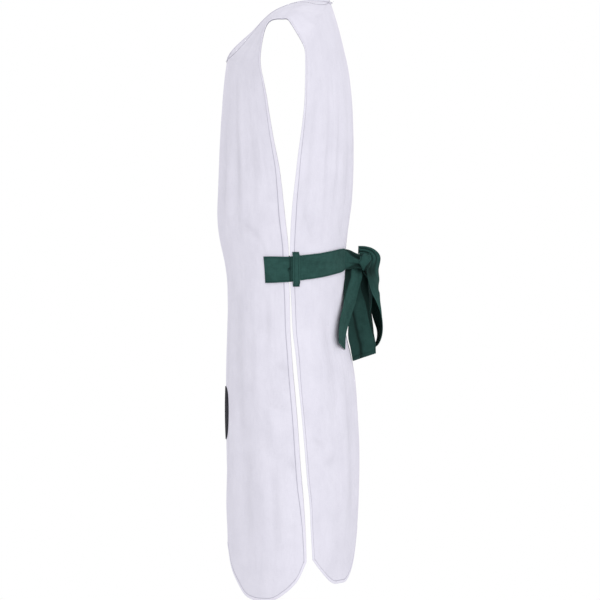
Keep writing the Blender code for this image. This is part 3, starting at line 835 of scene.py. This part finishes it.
# %% Lines along the hems and the neckline
# how deep the neckline's stitches lie, the cloth between their two faces, and a point in the neck's opening
NECK_SINK, NECK_WALL, NECK_MIDDLE = 0.3, 1.2, [0.0, -25.0, -40.0]


def along_panel(stations, share, hem, creases, hand):
    """outer point, inner point and outward direction for each place along a line on the cloth"""
    found = half_panel(stations[:, None], share[:, None], hem, creases, hand)
    return found[0][:, 0], found[1][:, 0], found[5][:, 0]


def panel_lines(side, hem, creases, hand):
    """the line of the side hem and then that of the bottom hem, on both faces of the cloth"""
    down = side * np.linspace(5.0, hem_line(hem, 0.97) - 12.0, 420)
    beside = 1 - side_hem(down) / speed(down, 0.998)
    across = np.linspace(1 - BOTTOM_HEM / CREASE_GIRTH, 0.0, 160)
    under = side * (hem_line(hem, across) - BOTTOM_HEM * hem_slant(hem, across))
    lines = []
    for stations, share in ((down, beside), (under, across)):
        outer, inner, normal = along_panel(stations, share, hem, creases, hand)
        lines += [(outer + normal * HEM_SEAT, normal), (inner - normal * INNER_SEAT, -normal)]
    return lines


def neck_lines(stations, hand):
    """the neckline moved a hem's width into the cloth, square to itself, on both faces"""
    edge = cloth(stations, 0 * stations)
    normal = facing(stations, 0 * stations + 0.002)
    inwards = unit(np.cross(normal, np.gradient(edge, axis=0)))
    inwards *= np.sign((inwards * (edge - NECK_MIDDLE)).sum(1).mean())
    turned = np.array([hand, 1.0, 1.0])
    outer = edge + inwards * HEM - normal * NECK_SINK
    return [(outer * turned, normal * turned), ((outer - normal * NECK_WALL) * turned, -normal * turned)]


def hem_stitches(name, side, hem, creases, neck_stations):
    """the stitches of one panel's side hems, bottom hem and neckline"""
    lines = [line for hand in SIDES.values() for line in panel_lines(side, hem, creases, hand)]
    lines += [line for hand in SIDES.values() for line in neck_lines(neck_stations, hand)]
    return stitch_piece(name, lines, white_thread)


# %% Lines along the facings
# station, and the way from there across the cloth to the lower edge of the facing inside the neckline
FRONT_FACING = np.array([
    (-146, 0), (-145.5, 14), (-143.5, 30), (-140, 43), (-135, 51), (-128, 55), (-120, 56), (-112, 54),
    (-103, 48), (-92, 39), (-75, 28), (-50, 20), (-25, 16), (-3, 14),
])
BACK_FACING = np.array([(3, 16), (20, 30), (36, 42), (52, 50), (74, 56), (99, 60)])


def facing_stitches(name, rows, hem, creases, thickness):
    """the stitches that hold a neck facing, on the outer face, along the rows of its table"""
    stations, width = through(np.arange(len(rows)), rows, np.linspace(0, len(rows) - 1, 320)).T
    lines = []
    for hand in SIDES.values():
        outer, _, normal = along_panel(stations, width / speed(stations, 0.1), hem, creases, hand)
        lines.append((outer + normal * FACING_SEAT, normal))
    return stitch_piece(name, lines, grey_thread, thickness)


# %% All the stitches of the panels
front_stitches = hem_stitches(
    "front_stitches", -1, FRONT_HEM, FRONT_CREASES, np.linspace(FRONT_NECK + 0.1, -3.0, 240)
)
back_stitches = hem_stitches(
    "back_stitches", 1, BACK_HEM, BACK_CREASES, np.linspace(3.0, BACK_NECK - 0.1, 200)
)
front_facing = facing_stitches(
    "front_neck_stitches", FRONT_FACING, FRONT_HEM, FRONT_CREASES, FRONT_FACING_THREAD
)
back_facing = facing_stitches(
    "back_neck_stitches", BACK_FACING, BACK_HEM, BACK_CREASES, BACK_FACING_THREAD
)

# %% [markdown]
# ## Straps
#
# The belt, its loops and the bow are all straps: a line through space, and at each place on it a
# direction across and a width. Such a strap is easy to steer by a table with a row for each bend. The
# edges are rounded and a line of stitches runs down both of them.

# %% Grids for straps
STRAP_WALL, STRAP_GROOVE, STRAP_GROOVE_WIDTH, STRAP_ROUND = 1.5, 0.22, 0.5, 0.65
STRAP_STEPS = [0.0, 0.1, 0.35, 0.8, 1.5, 2.1, STRAP_HEM, 2.7, 3.4]


def places_across(width, middle):
    """places from -0.5 to 0.5, close together at both edges"""
    near = np.array(STRAP_STEPS) / width - 0.5
    even = np.linspace(near[-1], -near[-1], middle + 2)[1:-1]
    return np.concatenate([near, even, -near[::-1]])


def outward(grid):
    """(a step along the strap) x (a step across it)"""
    across, along = np.gradient(grid, axis=(0, 1))
    return unit(np.cross(along, across))


def path_grid(table, times, places):
    """centre + across * place, with the middle standing out by the last column * (1 - 4 place^2)"""
    rows = through(np.arange(len(table)), np.array(table), times)
    centre = rows[:, :3] * [1, 1, -1] + [0, 0, NECK_POINT_HEIGHT]
    flat = centre + unit(rows[:, 3:6]) * rows[:, 6:7] * places[:, None, None]
    return flat + outward(flat) * rows[:, 7:8] * (1 - 4 * places[:, None, None] ** 2)


def spread_grid(grid, times, places):
    """a cubic through a coarse grid, first along it and then across it"""
    rows, columns = grid.shape[:2]
    along = through(np.arange(columns), np.moveaxis(grid, 1, 0).reshape(columns, -1), times)
    along = np.moveaxis(along.reshape(len(times), rows, 3), 1, 0).reshape(rows, -1)
    across = through(np.linspace(-0.5, 0.5, rows), along, places)
    return across.reshape(len(places), len(times), 3)


# %% A strap as a piece, with its stitches


def strap_lines(outer, inner, normal, ends):
    """the rows of stitches by both edges, on both faces, and across the strap at the given columns"""
    lines = []
    k = STRAP_STEPS.index(STRAP_HEM)
    for row in (k, len(outer) - 1 - k):
        lines.append((outer[row] + normal[row] * STRAP_SEAT, normal[row]))
        lines.append((inner[row] - normal[row] * STRAP_SEAT, -normal[row]))
    inside = slice(k, len(outer) - k)
    for column in ends:
        lines.append((outer[inside, column] + normal[inside, column] * STRAP_SEAT, normal[inside, column]))
    return lines


def strap_piece(name, grid, places, width, lift=0.0, thickness=STRAP_WALL, dark=0.0, inside=0.0, ends=()):
    """outer = grid + outward (lift - groove - rounding of the two edges and two ends); `dark` is how much
    painted shade each point is given, from 0 to 1, and `inside` is the painted shade that the inner face
    adds to it; with the piece come the lines of its stitches"""
    normal = outward(grid)
    edge = (0.5 - np.abs(places))[:, None] * width + 0 * grid[..., 0]
    middle = grid[grid.shape[0] // 2]
    way = np.r_[0.0, np.cumsum(np.linalg.norm(np.diff(middle, axis=0), axis=1))]
    end = np.minimum(way, way[-1] - way)[None] + 0 * edge
    fold = np.maximum(rounding(edge, STRAP_ROUND), rounding(end, STRAP_ROUND))
    groove = STRAP_GROOVE * hump(edge, STRAP_HEM, STRAP_GROOVE_WIDTH)
    outer = grid + normal * (lift - groove - fold)[..., None]
    inner = grid + normal * (lift - thickness + groove + fold)[..., None]
    uv = np.stack([(places * width)[:, None] + 0 * edge, way[None] + 0 * edge], -1) * MM
    numbers = {EDGE: (edge, edge), PAINTED_SHADE: [np.clip(part + 0 * edge, 0, 1) for part in (dark, dark + inside)]}
    quads = grid_quads(*edge.shape)
    piece = sheet_piece(name, outer, inner, quads, green_cotton, uv, numbers)
    return piece, strap_lines(outer, inner, normal, ends)


# %% Folds in a strap


def pleats(places, times, count, drift, start, stop):
    """shape = 2 |cos(pi (count p + drift t))| - 1: round ridges with sharp valleys, and how near a valley
    is, (1 - |cos|)^2; both fade in from start to stop"""
    t, p = times[None], places[:, None]
    wave = np.abs(np.cos(math.pi * (count * p + drift * t)))
    strength = soft_step(t, start, stop) if start < stop else 1 - soft_step(t, stop, start)
    return strength * (2 * wave - 1), strength * (1 - wave) ** 2


def line_offset(places, times, line):
    """place less the place of a fold line, which is a table of time and place"""
    return places[:, None] - np.interp(times, *zip(*line))[None]


# %% [markdown]
# ## The belt
#
# Each half of the belt is sewn to the front near the side edge, runs round the side through its loop,
# crosses the back and is pulled together where it enters the knot. There it falls into lengthwise
# pleats, deeper the nearer they are to the knot.

# %% The belt's way round
# on which side of the edges, share, drop, width
BELT_ON_PANELS = [
    (-1, 0.753, 484.6, 47.7), (-1, 0.80, 484.4, 47.6), (-1, 0.86, 484.2, 47.2), (-1, 0.93, 484, 46.2),
    (-1, 1, 483.8, 45.6), (1, 1, 483.6, 45.5), (1, 0.93, 482, 45), (1, 0.86, 480.6, 44.8),
    (1, 0.786, 479.3, 44.6), (1, 0.714, 478, 44.3), (1, 0.643, 476.6, 44), (1, 0.571, 474.8, 43.8),
    (1, 0.5, 473, 43.5), (1, 0.429, 471.2, 43.2), (1, 0.357, 469.6, 43), (1, 0.286, 468.3, 42),
    (1, 0.214, 467, 40), (1, 0.16, 466.6, 37),
]
# x, depth, drop, width
BELT_TO_KNOT = [
    (26.5, 107, 467.4, 35), (22.6, 114.5, 468.6, 29.5), (20, 121.5, 470, 26.5), (18, 127.5, 470, 26),
]
BELT_LIFT, BELT_WIDTH, BELT_END_SEAMS = 2.5, 46.0, (5, 6)


def belt_control():
    """five points across at each row: on the panels, lifted off them, and then free"""
    side, share, drop, width = np.array(BELT_ON_PANELS).T
    across = np.linspace(0.5, -0.5, 5)[:, None]
    stations = side * (drop + across * width)
    on_panels = cloth(stations, share + 0 * across) + facing(stations, share + 0 * across) * BELT_LIFT
    x, depth, drop, width = np.array(BELT_TO_KNOT).T
    height = NECK_POINT_HEIGHT - drop - across * width
    to_knot = np.stack(np.broadcast_arrays(x, depth, height), axis=-1)
    return np.concatenate([on_panels, to_knot], axis=1)


# %% The belt's folds


def belt_pleats(times, places):
    """pleats 2 mm deep that gather towards the knot, where the edges turn under; a dip of 2.2 mm between the
    two panels; long shallow waves where the strap goes round the side; and painted shade in the pleats'
    valleys, on the turned-under edges, in the dip and along the sewn end"""
    t, p = times[None], places[:, None]
    shape, valley = pleats(places, times, 2.4, 0.05, 15.8, 20.0)
    lit = np.interp(t, [16.4, 17.2, 18.1, 19.2, 20.0], [0.6, 0.38, 0.22, 0.12, 0.08])
    turned = soft_step(np.abs(p + 0.02), lit, lit + 0.16)
    dip, sewn = hump(t, 4.7, 0.5), hump(t, 0.3, 0.06)
    drag = soft_step(t, 7, 10) * (1 - soft_step(t, 15, 18)) * np.sin(2 * math.pi * (0.9 * p + 0.045 * t))
    sag = 0.5 * hump(t, 11.5, 1.6) * (1 - 4 * p**2)
    lift = 1.1 * shape + 0.7 * drag + sag - 2.2 * dip - 2.0 * turned
    return lift, np.clip(0.7 * valley + 0.85 * turned + 0.95 * dip + 0.35 * sewn, 0, 0.95)


# %% Both halves of the belt
belt_times = np.linspace(0, len(BELT_ON_PANELS) + len(BELT_TO_KNOT) - 1, 181)
belt_places = places_across(BELT_WIDTH, 26)
belt_grid = spread_grid(belt_control(), belt_times, belt_places)
belts, belt_lines = [], []
for name, hand in SIDES.items():
    lift, dark = belt_pleats(belt_times, belt_places if hand > 0 else belt_places * 0.9 + 0.05)
    belt, lines = strap_piece(
        f"belt_{name}_cloth", on_side(belt_grid, hand), belt_places, BELT_WIDTH, lift, dark=dark,
        ends=BELT_END_SEAMS,
    )
    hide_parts(f"belt_{name}")
    belts.append(belt)
    belt_lines.append(lines)
belt_stitches = [
    stitch_piece(f"belt_{name}_stitches", lines, green_thread)
    for name, lines in zip(SIDES, belt_lines)
]

# %% [markdown]
# ## The belt loops
#
# A narrow strap stands over the belt on the back panel's edge, and is sewn flat above and below it.

# %% Both belt loops
LOOP_SHARE, LOOP_DROP, LOOP_WIDTH, LOOP_WALL = 0.9375, 484.0, 12.5, 1.2
LOOP_END_SEAMS = (7, 11, 78, 82)
# drop, outer side above the panel
LOOP_ROWS = [
    (515, 1.8), (512.4, 1.9), (509.6, 3.6), (507.4, 4.9), (500, 5), (483, 5.1), (466, 5),
    (458.6, 4.9), (456.4, 3.6), (454.4, 1.9), (452.4, 1.8),
]


def loop_control():
    """points across the strap at each row of the table, lifted off the back panel"""
    drop, lift = np.array(LOOP_ROWS).T
    share_width = LOOP_WIDTH / speed(np.array(LOOP_DROP), LOOP_SHARE)
    across = LOOP_SHARE + np.linspace(0.5, -0.5, 3)[:, None] * share_width
    return cloth(drop + 0 * across, across + 0 * drop) + facing(drop + 0 * across, across) * lift[:, None]


loop_times = np.linspace(0, len(LOOP_ROWS) - 1, 90)
loop_places = places_across(LOOP_WIDTH, 8)
loop_grid = spread_grid(loop_control(), loop_times, loop_places)[::-1]
loops = []
for name, hand in SIDES.items():
    loop, lines = strap_piece(
        f"belt_loop_{name}_cloth", on_side(loop_grid, hand), loop_places, LOOP_WIDTH, thickness=LOOP_WALL,
        ends=LOOP_END_SEAMS,
    )
    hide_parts(f"belt_loop_{name}")
    loops.append((loop, stitch_piece(f"belt_loop_{name}_stitches", lines, green_thread)))

# %% [markdown]
# ## The half bow
#
# One loop comes out of the top of the knot, folds over and hangs down behind it, and comes back up to
# the knot from below. Both free ends hang beside it. The loop is cupped where it turns over: its two
# edges curl forwards, so from the side its outer face shows above and its inner face below.

# %% The ways of the bow's straps
# x, depth, drop of the centre, x, y and z of the direction across, width, middle stands out
BOW_LOOP = [
    (3, 121, 449.4, 0, 0.05, 1, 14, 0),
    (4, 132.5, 450.2, 0, 0.2, 0.98, 15, 0),
    (5, 144, 454.5, -0.05, 0.5, 0.87, 17, 0),
    (5, 150.6, 466, -0.3, 0.8, 0.5, 25, 0),
    (1, 148, 486, -0.83, 0.56, 0.1, 38, 0),
    (-3, 149.6, 507, -0.91, 0.42, 0, 45, 6),
    (-7, 147.2, 526, -0.995, 0.07, 0, 42, 12.6),
    (-9, 148.8, 542, -0.97, -0.25, 0, 42, 12.2),
    (-11, 153, 559, -0.93, -0.36, 0, 44, 9),
    (-12, 157.2, 576, -0.94, -0.33, 0, 46, 4.5),
    (-13, 160.6, 592, -0.97, -0.22, 0, 47, 1),
    (-14, 160.2, 606, -0.98, -0.16, 0, 47, 0),
    (-15.5, 156, 618.5, -0.98, -0.12, 0, 47, 0),
    (-17.5, 151, 624, -1, -0.06, 0, 47, 0),
    (-20, 148.4, 616, -1, 0, 0, 47, 0),
    (-22, 146.6, 597, -1, 0.05, 0, 47, 0),
    (-22, 143.6, 570, -0.99, 0.06, 0, 46, 0),
    (-16, 142.7, 540, -0.98, -0.12, 0, 42, 0),
    (-12, 141, 510, -0.96, -0.24, 0, 31, 0),
    (-10.5, 131.5, 487.5, -0.98, 0.2, 0, 20, 0),
    (-6, 130, 477, -1, 0, 0, 14, 0),
]
TAIL_SIDE = [
    (9, 117, 476, -0.72, 0.69, 0, 26, 0),
    (11.5, 115.2, 482, -0.72, 0.69, 0, 35, 0),
    (17, 114.7, 490, -0.72, 0.70, 0, 38.5, 0),
    (23, 114.6, 499, -0.72, 0.7, 0, 39, 0),
    (34, 110.6, 521, -0.85, 0.53, 0, 44, 0),
    (48, 105.6, 546, -0.9, 0.44, -0.05, 47, 0),
    (64, 98.8, 571, -0.935, 0.355, -0.1, 48, 0),
    (79, 93.4, 597, -0.96, 0.265, -0.16, 48, 0),
    (93, 92.6, 623, -0.94, 0.22, -0.26, 48, 0),
]
TAIL_BACK = [
    (-1, 131, 474, -0.5, 0.86, 0, 14, 0),
    (0, 132.4, 487, -0.5, 0.86, 0, 20, 0),
    (2.5, 131.4, 505, -0.5, 0.86, 0, 26, 0),
    (7, 129, 530, -0.5, 0.86, 0, 34, 0),
    (13, 125.3, 560, -0.49, 0.87, 0.05, 43, 0),
    (17, 126, 598, -0.36, 0.92, 0.15, 50, 0),
    (19.5, 129.6, 620, -0.38, 0.90, 0.24, 50, 0),
    (21, 132.5, 643, -0.44, 0.85, 0.28, 49, 0),
]

# %% How the bow's straps fold
# Fold lines, as time and place: beyond the first the strap turns back behind itself; the second is the
# ridge whose far side is given painted shade, and the third a valley
SIDE_TURN = [(0, -0.2), (3, -0.2), (4, -0.36), (5, -0.5), (6, -0.62), (8, -0.62)]
BACK_RIDGE = [(0, -0.45), (2, -0.3), (2.6, -0.2), (3.5, 0.18), (4, 0.29), (5, 0.38), (6, 0.47), (7, 0.6)]
BACK_VALLEY = [(0, -0.7), (3, -0.62), (3.7, -0.45), (4.4, -0.22), (5, -0.12), (6, -0.08), (7, -0.12)]


def end_seam(times):
    """1 along a line 6 mm inside the strap's end, where its edge is turned in and sewn; painted shade goes
    there
    """
    return hump(times, times[-1] - 0.26, 0.06)[None]


def loop_folds(places, times):
    """pleats at both ends, near the knot; painted shade in the pleats' valleys and where the strap turns
    away below the top of the loop
    """
    start, valley = pleats(places, times, 2.6, 0.02, 5.2, 2.4)
    stop, second = pleats(places, times, 2.2, 0.05, 14.5, 19.0)
    t, p = times[None], places[:, None]
    behind = hump(t, 4.0, 0.7) * (1 - soft_step(p, 0.05, 0.3))
    below = hump(t, 5.3, 0.8) * (1 - soft_step(p, -0.3, 0.2))
    shaded = 0.85 * valley + 0.7 * second + 0.85 * behind + 0.35 * below
    return 1.3 * start + 0.9 * stop - 1.5 * behind, shaded


def side_folds(places, times):
    """the strap turns back along its line, by 26 mm for each width past it, with a soft ridge beside it;
    painted shade on the part turned back, in the pleats' valleys and along the end seam
    """
    off = line_offset(places, times, SIDE_TURN)
    past = np.maximum(-off, 0)
    shape, valley = pleats(places, times, 1.6, 0.03, 5.0, 1.0)
    shaded = 0.92 * soft_step(past, 0.0, 0.05) + 0.45 * valley + 0.35 * end_seam(times)
    return 0.9 * hump(off, 0.05, 0.05) + 0.8 * shape - 26.0 * past, shaded


def back_folds(places, times):
    """a ridge with its far side turned away, and a valley; painted shade on the far side, in the valley,
    on the strap's start and its left part, which lie behind the other end, along the end seam, and a little
    over all of it"""
    off = line_offset(places, times, BACK_RIDGE)
    beside = line_offset(places, times, BACK_VALLEY)
    past = np.maximum(off, 0)
    valley, broad = hump(beside, 0.0, 0.05), hump(beside, 0.0, 0.16)
    start = soft_step(times[None], 1.5, 3.0)
    above = 1 - soft_step(times[None], 2.6, 4.2)
    lift = 1.2 * hump(off, 0.0, 0.05) - 9.0 * past - start * (1.3 * valley + 1.5 * broad)
    shaded = 0.8 * soft_step(past, 0.0, 0.05) + start * (0.55 * valley + 0.15 * broad)
    left = 0.15 * start * (1 - soft_step(beside, -0.1, 0.1))
    # 0.34 of painted shade over the whole strap, and more near the knot
    return lift, shaded + left + 0.35 * above + 0.34 + 0.35 * end_seam(times)


# %% Make the bow
# the bow's width, and the painted shade that the loop's inner face adds
BOW_WIDTH, LOOP_INNER_SHADE = 47.0, 0.75
bow, bow_lines = {}, []
for name, table, rows_for_bend, folds, inside, ends in (
    ("bow_loop", BOW_LOOP, 12, loop_folds, LOOP_INNER_SHADE, ()),
    ("bow_tail_side", TAIL_SIDE, 16, side_folds, 0.0, (-4, -5)),
    ("bow_tail_back", TAIL_BACK, 16, back_folds, 0.0, (-4, -5)),
):
    times = np.linspace(0, len(table) - 1, (len(table) - 1) * rows_for_bend + 1)
    places = places_across(BOW_WIDTH, 36)
    lift, dark = folds(places, times)
    bow[name], lines = strap_piece(
        f"{name}_cloth", path_grid(table, times, places), places, BOW_WIDTH, lift, dark=dark, inside=inside,
        ends=ends,
    )
    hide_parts(name)
    bow_lines += lines
bow_stitches = stitch_piece("bow_stitches", bow_lines, green_thread)

# %% [markdown]
# ## The knot
#
# Inside, a knot is straps over straps, which nobody sees. What shows is a tight rounded bundle with
# the last turn of the strap folded over it. The bundle is a squared-off ball with pleats that run round
# it, and the turn is one more strap.

# %% The form of the bundle
KNOT_CENTRE = np.array([0.0, 130.5, NECK_POINT_HEIGHT - 471.5])
KNOT_HALF = np.array([18.0, 13.5, 14.5])
KNOT_TIP = math.radians(-20.0)


def squared(wave, power=0.62):
    """sign(wave) |wave|^power: a circle pushed out towards a square"""
    return np.sign(wave) * np.abs(wave) ** power


def knot_surface(turn, rise):
    """x = a squared(sin rise), y and z = squared(cos rise) squared(cos turn or sin turn), swollen by
    pleats 0.05 cos(6 turn + 2 rise) cos rise + 0.03 cos(3 turn - 4 rise), and tipped about x"""
    swell = 1 + 0.05 * np.cos(6 * turn + 2 * rise) * np.cos(rise) + 0.03 * np.cos(3 * turn - 4 * rise)
    x = squared(np.sin(rise)) * KNOT_HALF[0]
    y = squared(np.cos(rise), 0.5) * squared(np.cos(turn)) * KNOT_HALF[1] * swell
    z = squared(np.cos(rise), 0.5) * squared(np.sin(turn)) * KNOT_HALF[2] * swell
    tipped_y = y * math.cos(KNOT_TIP) - z * math.sin(KNOT_TIP)
    tipped_z = y * math.sin(KNOT_TIP) + z * math.cos(KNOT_TIP)
    return np.stack(np.broadcast_arrays(x, tipped_y, tipped_z), -1) + KNOT_CENTRE


# %% Make the bundle
turns = np.linspace(-math.pi, math.pi, 145)[None]
rises = np.linspace(-math.pi / 2, math.pi / 2, 81)[:, None]
knot_points = knot_surface(turns, rises).reshape(-1, 3)
_, first, index = np.unique(np.round(knot_points, 3), axis=0, return_index=True, return_inverse=True)
knot_points = knot_points[first]
knot_uv = (np.stack(np.broadcast_arrays(turns * 12, rises * 16), -1) * MM).reshape(-1, 2)[first]
# painted shade: in the pleats' valleys, a little everywhere, and over the bundle's near end, behind the turn
knot_valley_shade = (0.15 + 0.7 * (1 - np.abs(np.cos(3 * turns + rises))) ** 2).ravel()[first]
knot_painted_shade = np.maximum(0.85 * soft_step(knot_points[:, 0], 6.0, 13.0), knot_valley_shade)
# At the bundle's two ends the corners of a cell fall together, and what is left of it is a triangle
cells = index.reshape(-1)[grid_quads(81, 145)[:, ::-1]].tolist()
knot_faces = [face for face in (list(dict.fromkeys(cell)) for cell in cells) if len(face) > 2]
knot = mesh_piece(
    "bow_knot_cloth", knot_points, knot_faces, green_cotton, knot_uv,
    {EDGE: np.full(len(first), 20.0), PAINTED_SHADE: knot_painted_shade},
)
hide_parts("bow_knot")

# %% The turn over the bundle
# The last turn, from under the loop down the near end of the bundle to a folded tip: x, depth and drop
# of the centre, direction across, width, middle stands out
KNOT_TURN = [
    (-2, 132.5, 455.5, 0, 1, 0, 16, 0.5),
    (10, 133.3, 458, 0, 1, 0.1, 18, 1),
    (19.5, 133.8, 461.5, 0, 1, 0.15, 20, 1.5),
    (22.5, 134, 467, 0, 1, 0.15, 21.5, 1.8),
    (23, 131.2, 471.5, 0, 1, 0, 20.5, 2.2),
    (22.5, 130.7, 477, 0, 1, 0, 12, 2),
    (21, 130.3, 481.5, 0, 1, 0, 6, 1),
    (18.5, 130.2, 486.5, 0, 1, 0, 3, 0.3),
]
TURN_WIDTH = 22.0
turn_times = np.linspace(0, len(KNOT_TURN) - 1, 90)
turn_places = places_across(TURN_WIDTH, 20)
turn_grid = path_grid(KNOT_TURN, turn_times, turn_places)
shape, valley = pleats(turn_places, turn_times, 1.7, 0.04, 5.0, 1.0)
# painted shade in the valleys of the turn's pleats
knot_turns = [
    strap_piece(
        f"bow_knot_turn_{name}", on_side(turn_grid, hand), turn_places, TURN_WIDTH, 0.5 * shape,
        dark=0.5 * valley,
    )[0]
    for name, hand in SIDES.items()
]

# %% [markdown]
# ## The patch on the front
#
# An upright oval of dark cloth is sewn to the middle of the front. It follows the panel's own surface,
# a little fuller in the middle, with a line of stitches inside its rim.

# %% Points on the patch
PATCH_DROP, PATCH_RADIUS, PATCH_HALF_WIDTH, PATCH_WALL = 743.0, 48.0, 28.0, 1.2
PATCH_SEAT, PATCH_RISE, PATCH_GROOVE = 1.5, 0.9, 0.4
PATCH_NARROWING = PATCH_HALF_WIDTH / PATCH_RADIUS


def patch_points(radius, angle, lift):
    """The point at that distance and angle from the patch's middle, on the front panel, lifted off it by
    that much and by the patch's fullness, PATCH_SEAT + PATCH_RISE (1 - (radius / PATCH_RADIUS)^2)."""
    across = radius * PATCH_NARROWING * np.cos(angle)
    drop = PATCH_DROP + radius * np.sin(angle)
    edge = through(SECTIONS[:, 0], SECTIONS[:, 4:], -drop)
    turn = np.radians(edge[..., 3])
    share = np.arcsin(np.abs(across) * np.sin(turn) / edge[..., 0]) / turn
    normal = facing(-drop, np.maximum(share, 1e-4))
    side = np.stack([np.where(across < 0, -1.0, 1.0), np.ones_like(across), np.ones_like(across)], -1)
    normal[np.abs(across) < 1e-6, 0] = 0.0
    normal = unit(normal)
    lift = lift + PATCH_SEAT + PATCH_RISE * (1 - (radius / PATCH_RADIUS) ** 2)
    lift = lift + relief(FRONT_CREASES, np.where(across < 0, -share, share), drop)
    return (cloth(-drop, share) + normal * lift[..., None]) * side, normal * side


def round_grid(rings):
    """The rings of a disc as a grid without a pole.

    Square rings, max(|x|, |y|) = r, become round ones of the same size, and the angle in each of the
    four quarters is a quarter turn's share: pi/4 * y/x to the sides, pi/2 - pi/4 * x/y above and below.
    """
    steps = np.r_[-rings[:0:-1], rings]
    x, y = np.meshgrid(steps, steps, indexing="ij")
    wide = np.abs(x) >= np.abs(y)
    reach = np.where(wide, x, y)
    lean = math.pi / 4 * np.where(wide, y, x) / np.where(reach == 0, 1.0, reach)
    angle = np.where(wide, lean, math.pi / 2 - lean)
    return np.abs(reach), np.where(reach < 0, angle + math.pi, angle)


# %% Make the patch
PATCH_ROUND, PATCH_GROOVE_WIDTH, PATCH_STITCH_SINK = 0.5, 0.7, 0.15
to_rim = np.array([0.0, 0.1, 0.4, 1.0, 2.0, 2.6, 3.0, 3.4, 4.0])
ring_steps = np.r_[np.linspace(0, 43.5, 24), PATCH_RADIUS - to_rim[::-1]]
radius, angle = round_grid(ring_steps)
to_rim = PATCH_RADIUS - radius
fold = rounding(to_rim, PATCH_ROUND)
groove = PATCH_GROOVE * hump(to_rim, PATCH_HEM, PATCH_GROOVE_WIDTH)
outer, _ = patch_points(radius, angle, -groove - fold)
inner, _ = patch_points(radius, angle, fold - PATCH_WALL)
patch_uv = np.stack([radius * PATCH_NARROWING * np.cos(angle), radius * np.sin(angle)], -1) * MM
patch = sheet_piece(
    "front_patch_cloth", outer, inner, grid_quads(*radius.shape), dark_cotton, patch_uv,
    {EDGE: (to_rim, to_rim)},
)
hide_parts("front_patch")
way_round = np.linspace(0, 2 * math.pi, 400)
seam = patch_points(np.full(400, PATCH_RADIUS - PATCH_HEM), way_round, -PATCH_STITCH_SINK)
patch_stitches = stitch_piece("front_patch_stitches", [seam], dark_thread)

# %% [markdown]
# ## The area of each sheet
#
# Half of each closed piece's surface is printed, as the area of its cloth.


def sheet_area(piece):
    """half of a closed piece's surface, in square metres"""
    mesh = piece.data
    areas = np.empty(len(mesh.polygons))
    mesh.polygons.foreach_get("area", areas)
    return areas.sum() / 2


for piece in (front, back, *belts, *[loop for loop, _ in loops], *bow.values(), *knot_turns, patch):
    print(piece.name, "cloth:", round(sheet_area(piece), 4), "square metres")

# %% [markdown]
# ## The studio
#
# The photograph was taken from the garment's left, a little above its middle, against white. A long
# lens far away keeps the side view free of perspective. The floor is plain and pale.

# %% The floor and the room
FLOOR_CORNERS = [(-1, -1), (1, -1), (1, 1), (-1, 1)]
floor_finish = Finish("studio_floor", 0.9)
floor_finish.shader.inputs["Base Color"].default_value = (0.86, 0.86, 0.87, 1.0)
floor_mesh = bpy.data.meshes.new("floor")
floor_mesh.from_pydata([(x * 9, y * 9, -1.5) for x, y in FLOOR_CORNERS], [], [(0, 1, 2, 3)])
floor_mesh.materials.append(floor_finish.material)
floor = bpy.data.objects.new("floor", floor_mesh)
bpy.context.scene.collection.objects.link(floor)

world = bpy.data.worlds.new("white_room")
world.use_nodes = True
background = world.node_tree.nodes["Background"]
background.inputs["Color"].default_value = (1.0, 1.0, 1.0, 1.0)
background.inputs["Strength"].default_value = 1.0
bpy.context.scene.world = world
bpy.context.scene.view_settings.view_transform = "Standard"


# %% The light


def soft_light(name, place, target, size, power):
    """a square area light that faces its target"""
    light = bpy.data.lights.new(name, "AREA")
    light.size, light.energy = size, power
    lamp = bpy.data.objects.new(name, light)
    lamp.location = place
    aim = np.array(target) - np.array(place)
    pitch = math.atan2(math.hypot(aim[0], aim[1]), -aim[2])
    lamp.rotation_euler = (pitch, 0.0, math.atan2(-aim[0], aim[1]))
    bpy.context.scene.collection.objects.link(lamp)
    return lamp


soft_light("key", (3.7, 1.1, 1.3), (0.0, 0.0, -0.4), 1.2, 32.5)

# %% The camera
# the camera's way off, its depth and its height, and the height of the garment's middle, in metres
CAMERA_WAY, CAMERA_DEPTH, CAMERA_HEIGHT, MIDDLE_HEIGHT = 48.08, 0.0162, -0.2, NECK_POINT_HEIGHT * MM - 0.54
camera_data = bpy.data.cameras.new("camera")
camera_data.lens, camera_data.sensor_width = 1600.0, 36.0
camera_data.clip_start, camera_data.clip_end = 1.0, 200.0
camera = bpy.data.objects.new("camera", camera_data)
camera.location = (CAMERA_WAY, CAMERA_DEPTH, CAMERA_HEIGHT)
downwards = math.atan((CAMERA_HEIGHT - MIDDLE_HEIGHT) / CAMERA_WAY)
camera.rotation_euler = (math.pi / 2 - downwards, 0.0, math.pi / 2)
bpy.context.scene.collection.objects.link(camera)
bpy.context.scene.camera = camera
print("camera:", CAMERA_WAY, "m away, looking", round(math.degrees(downwards), 2), "degrees down")
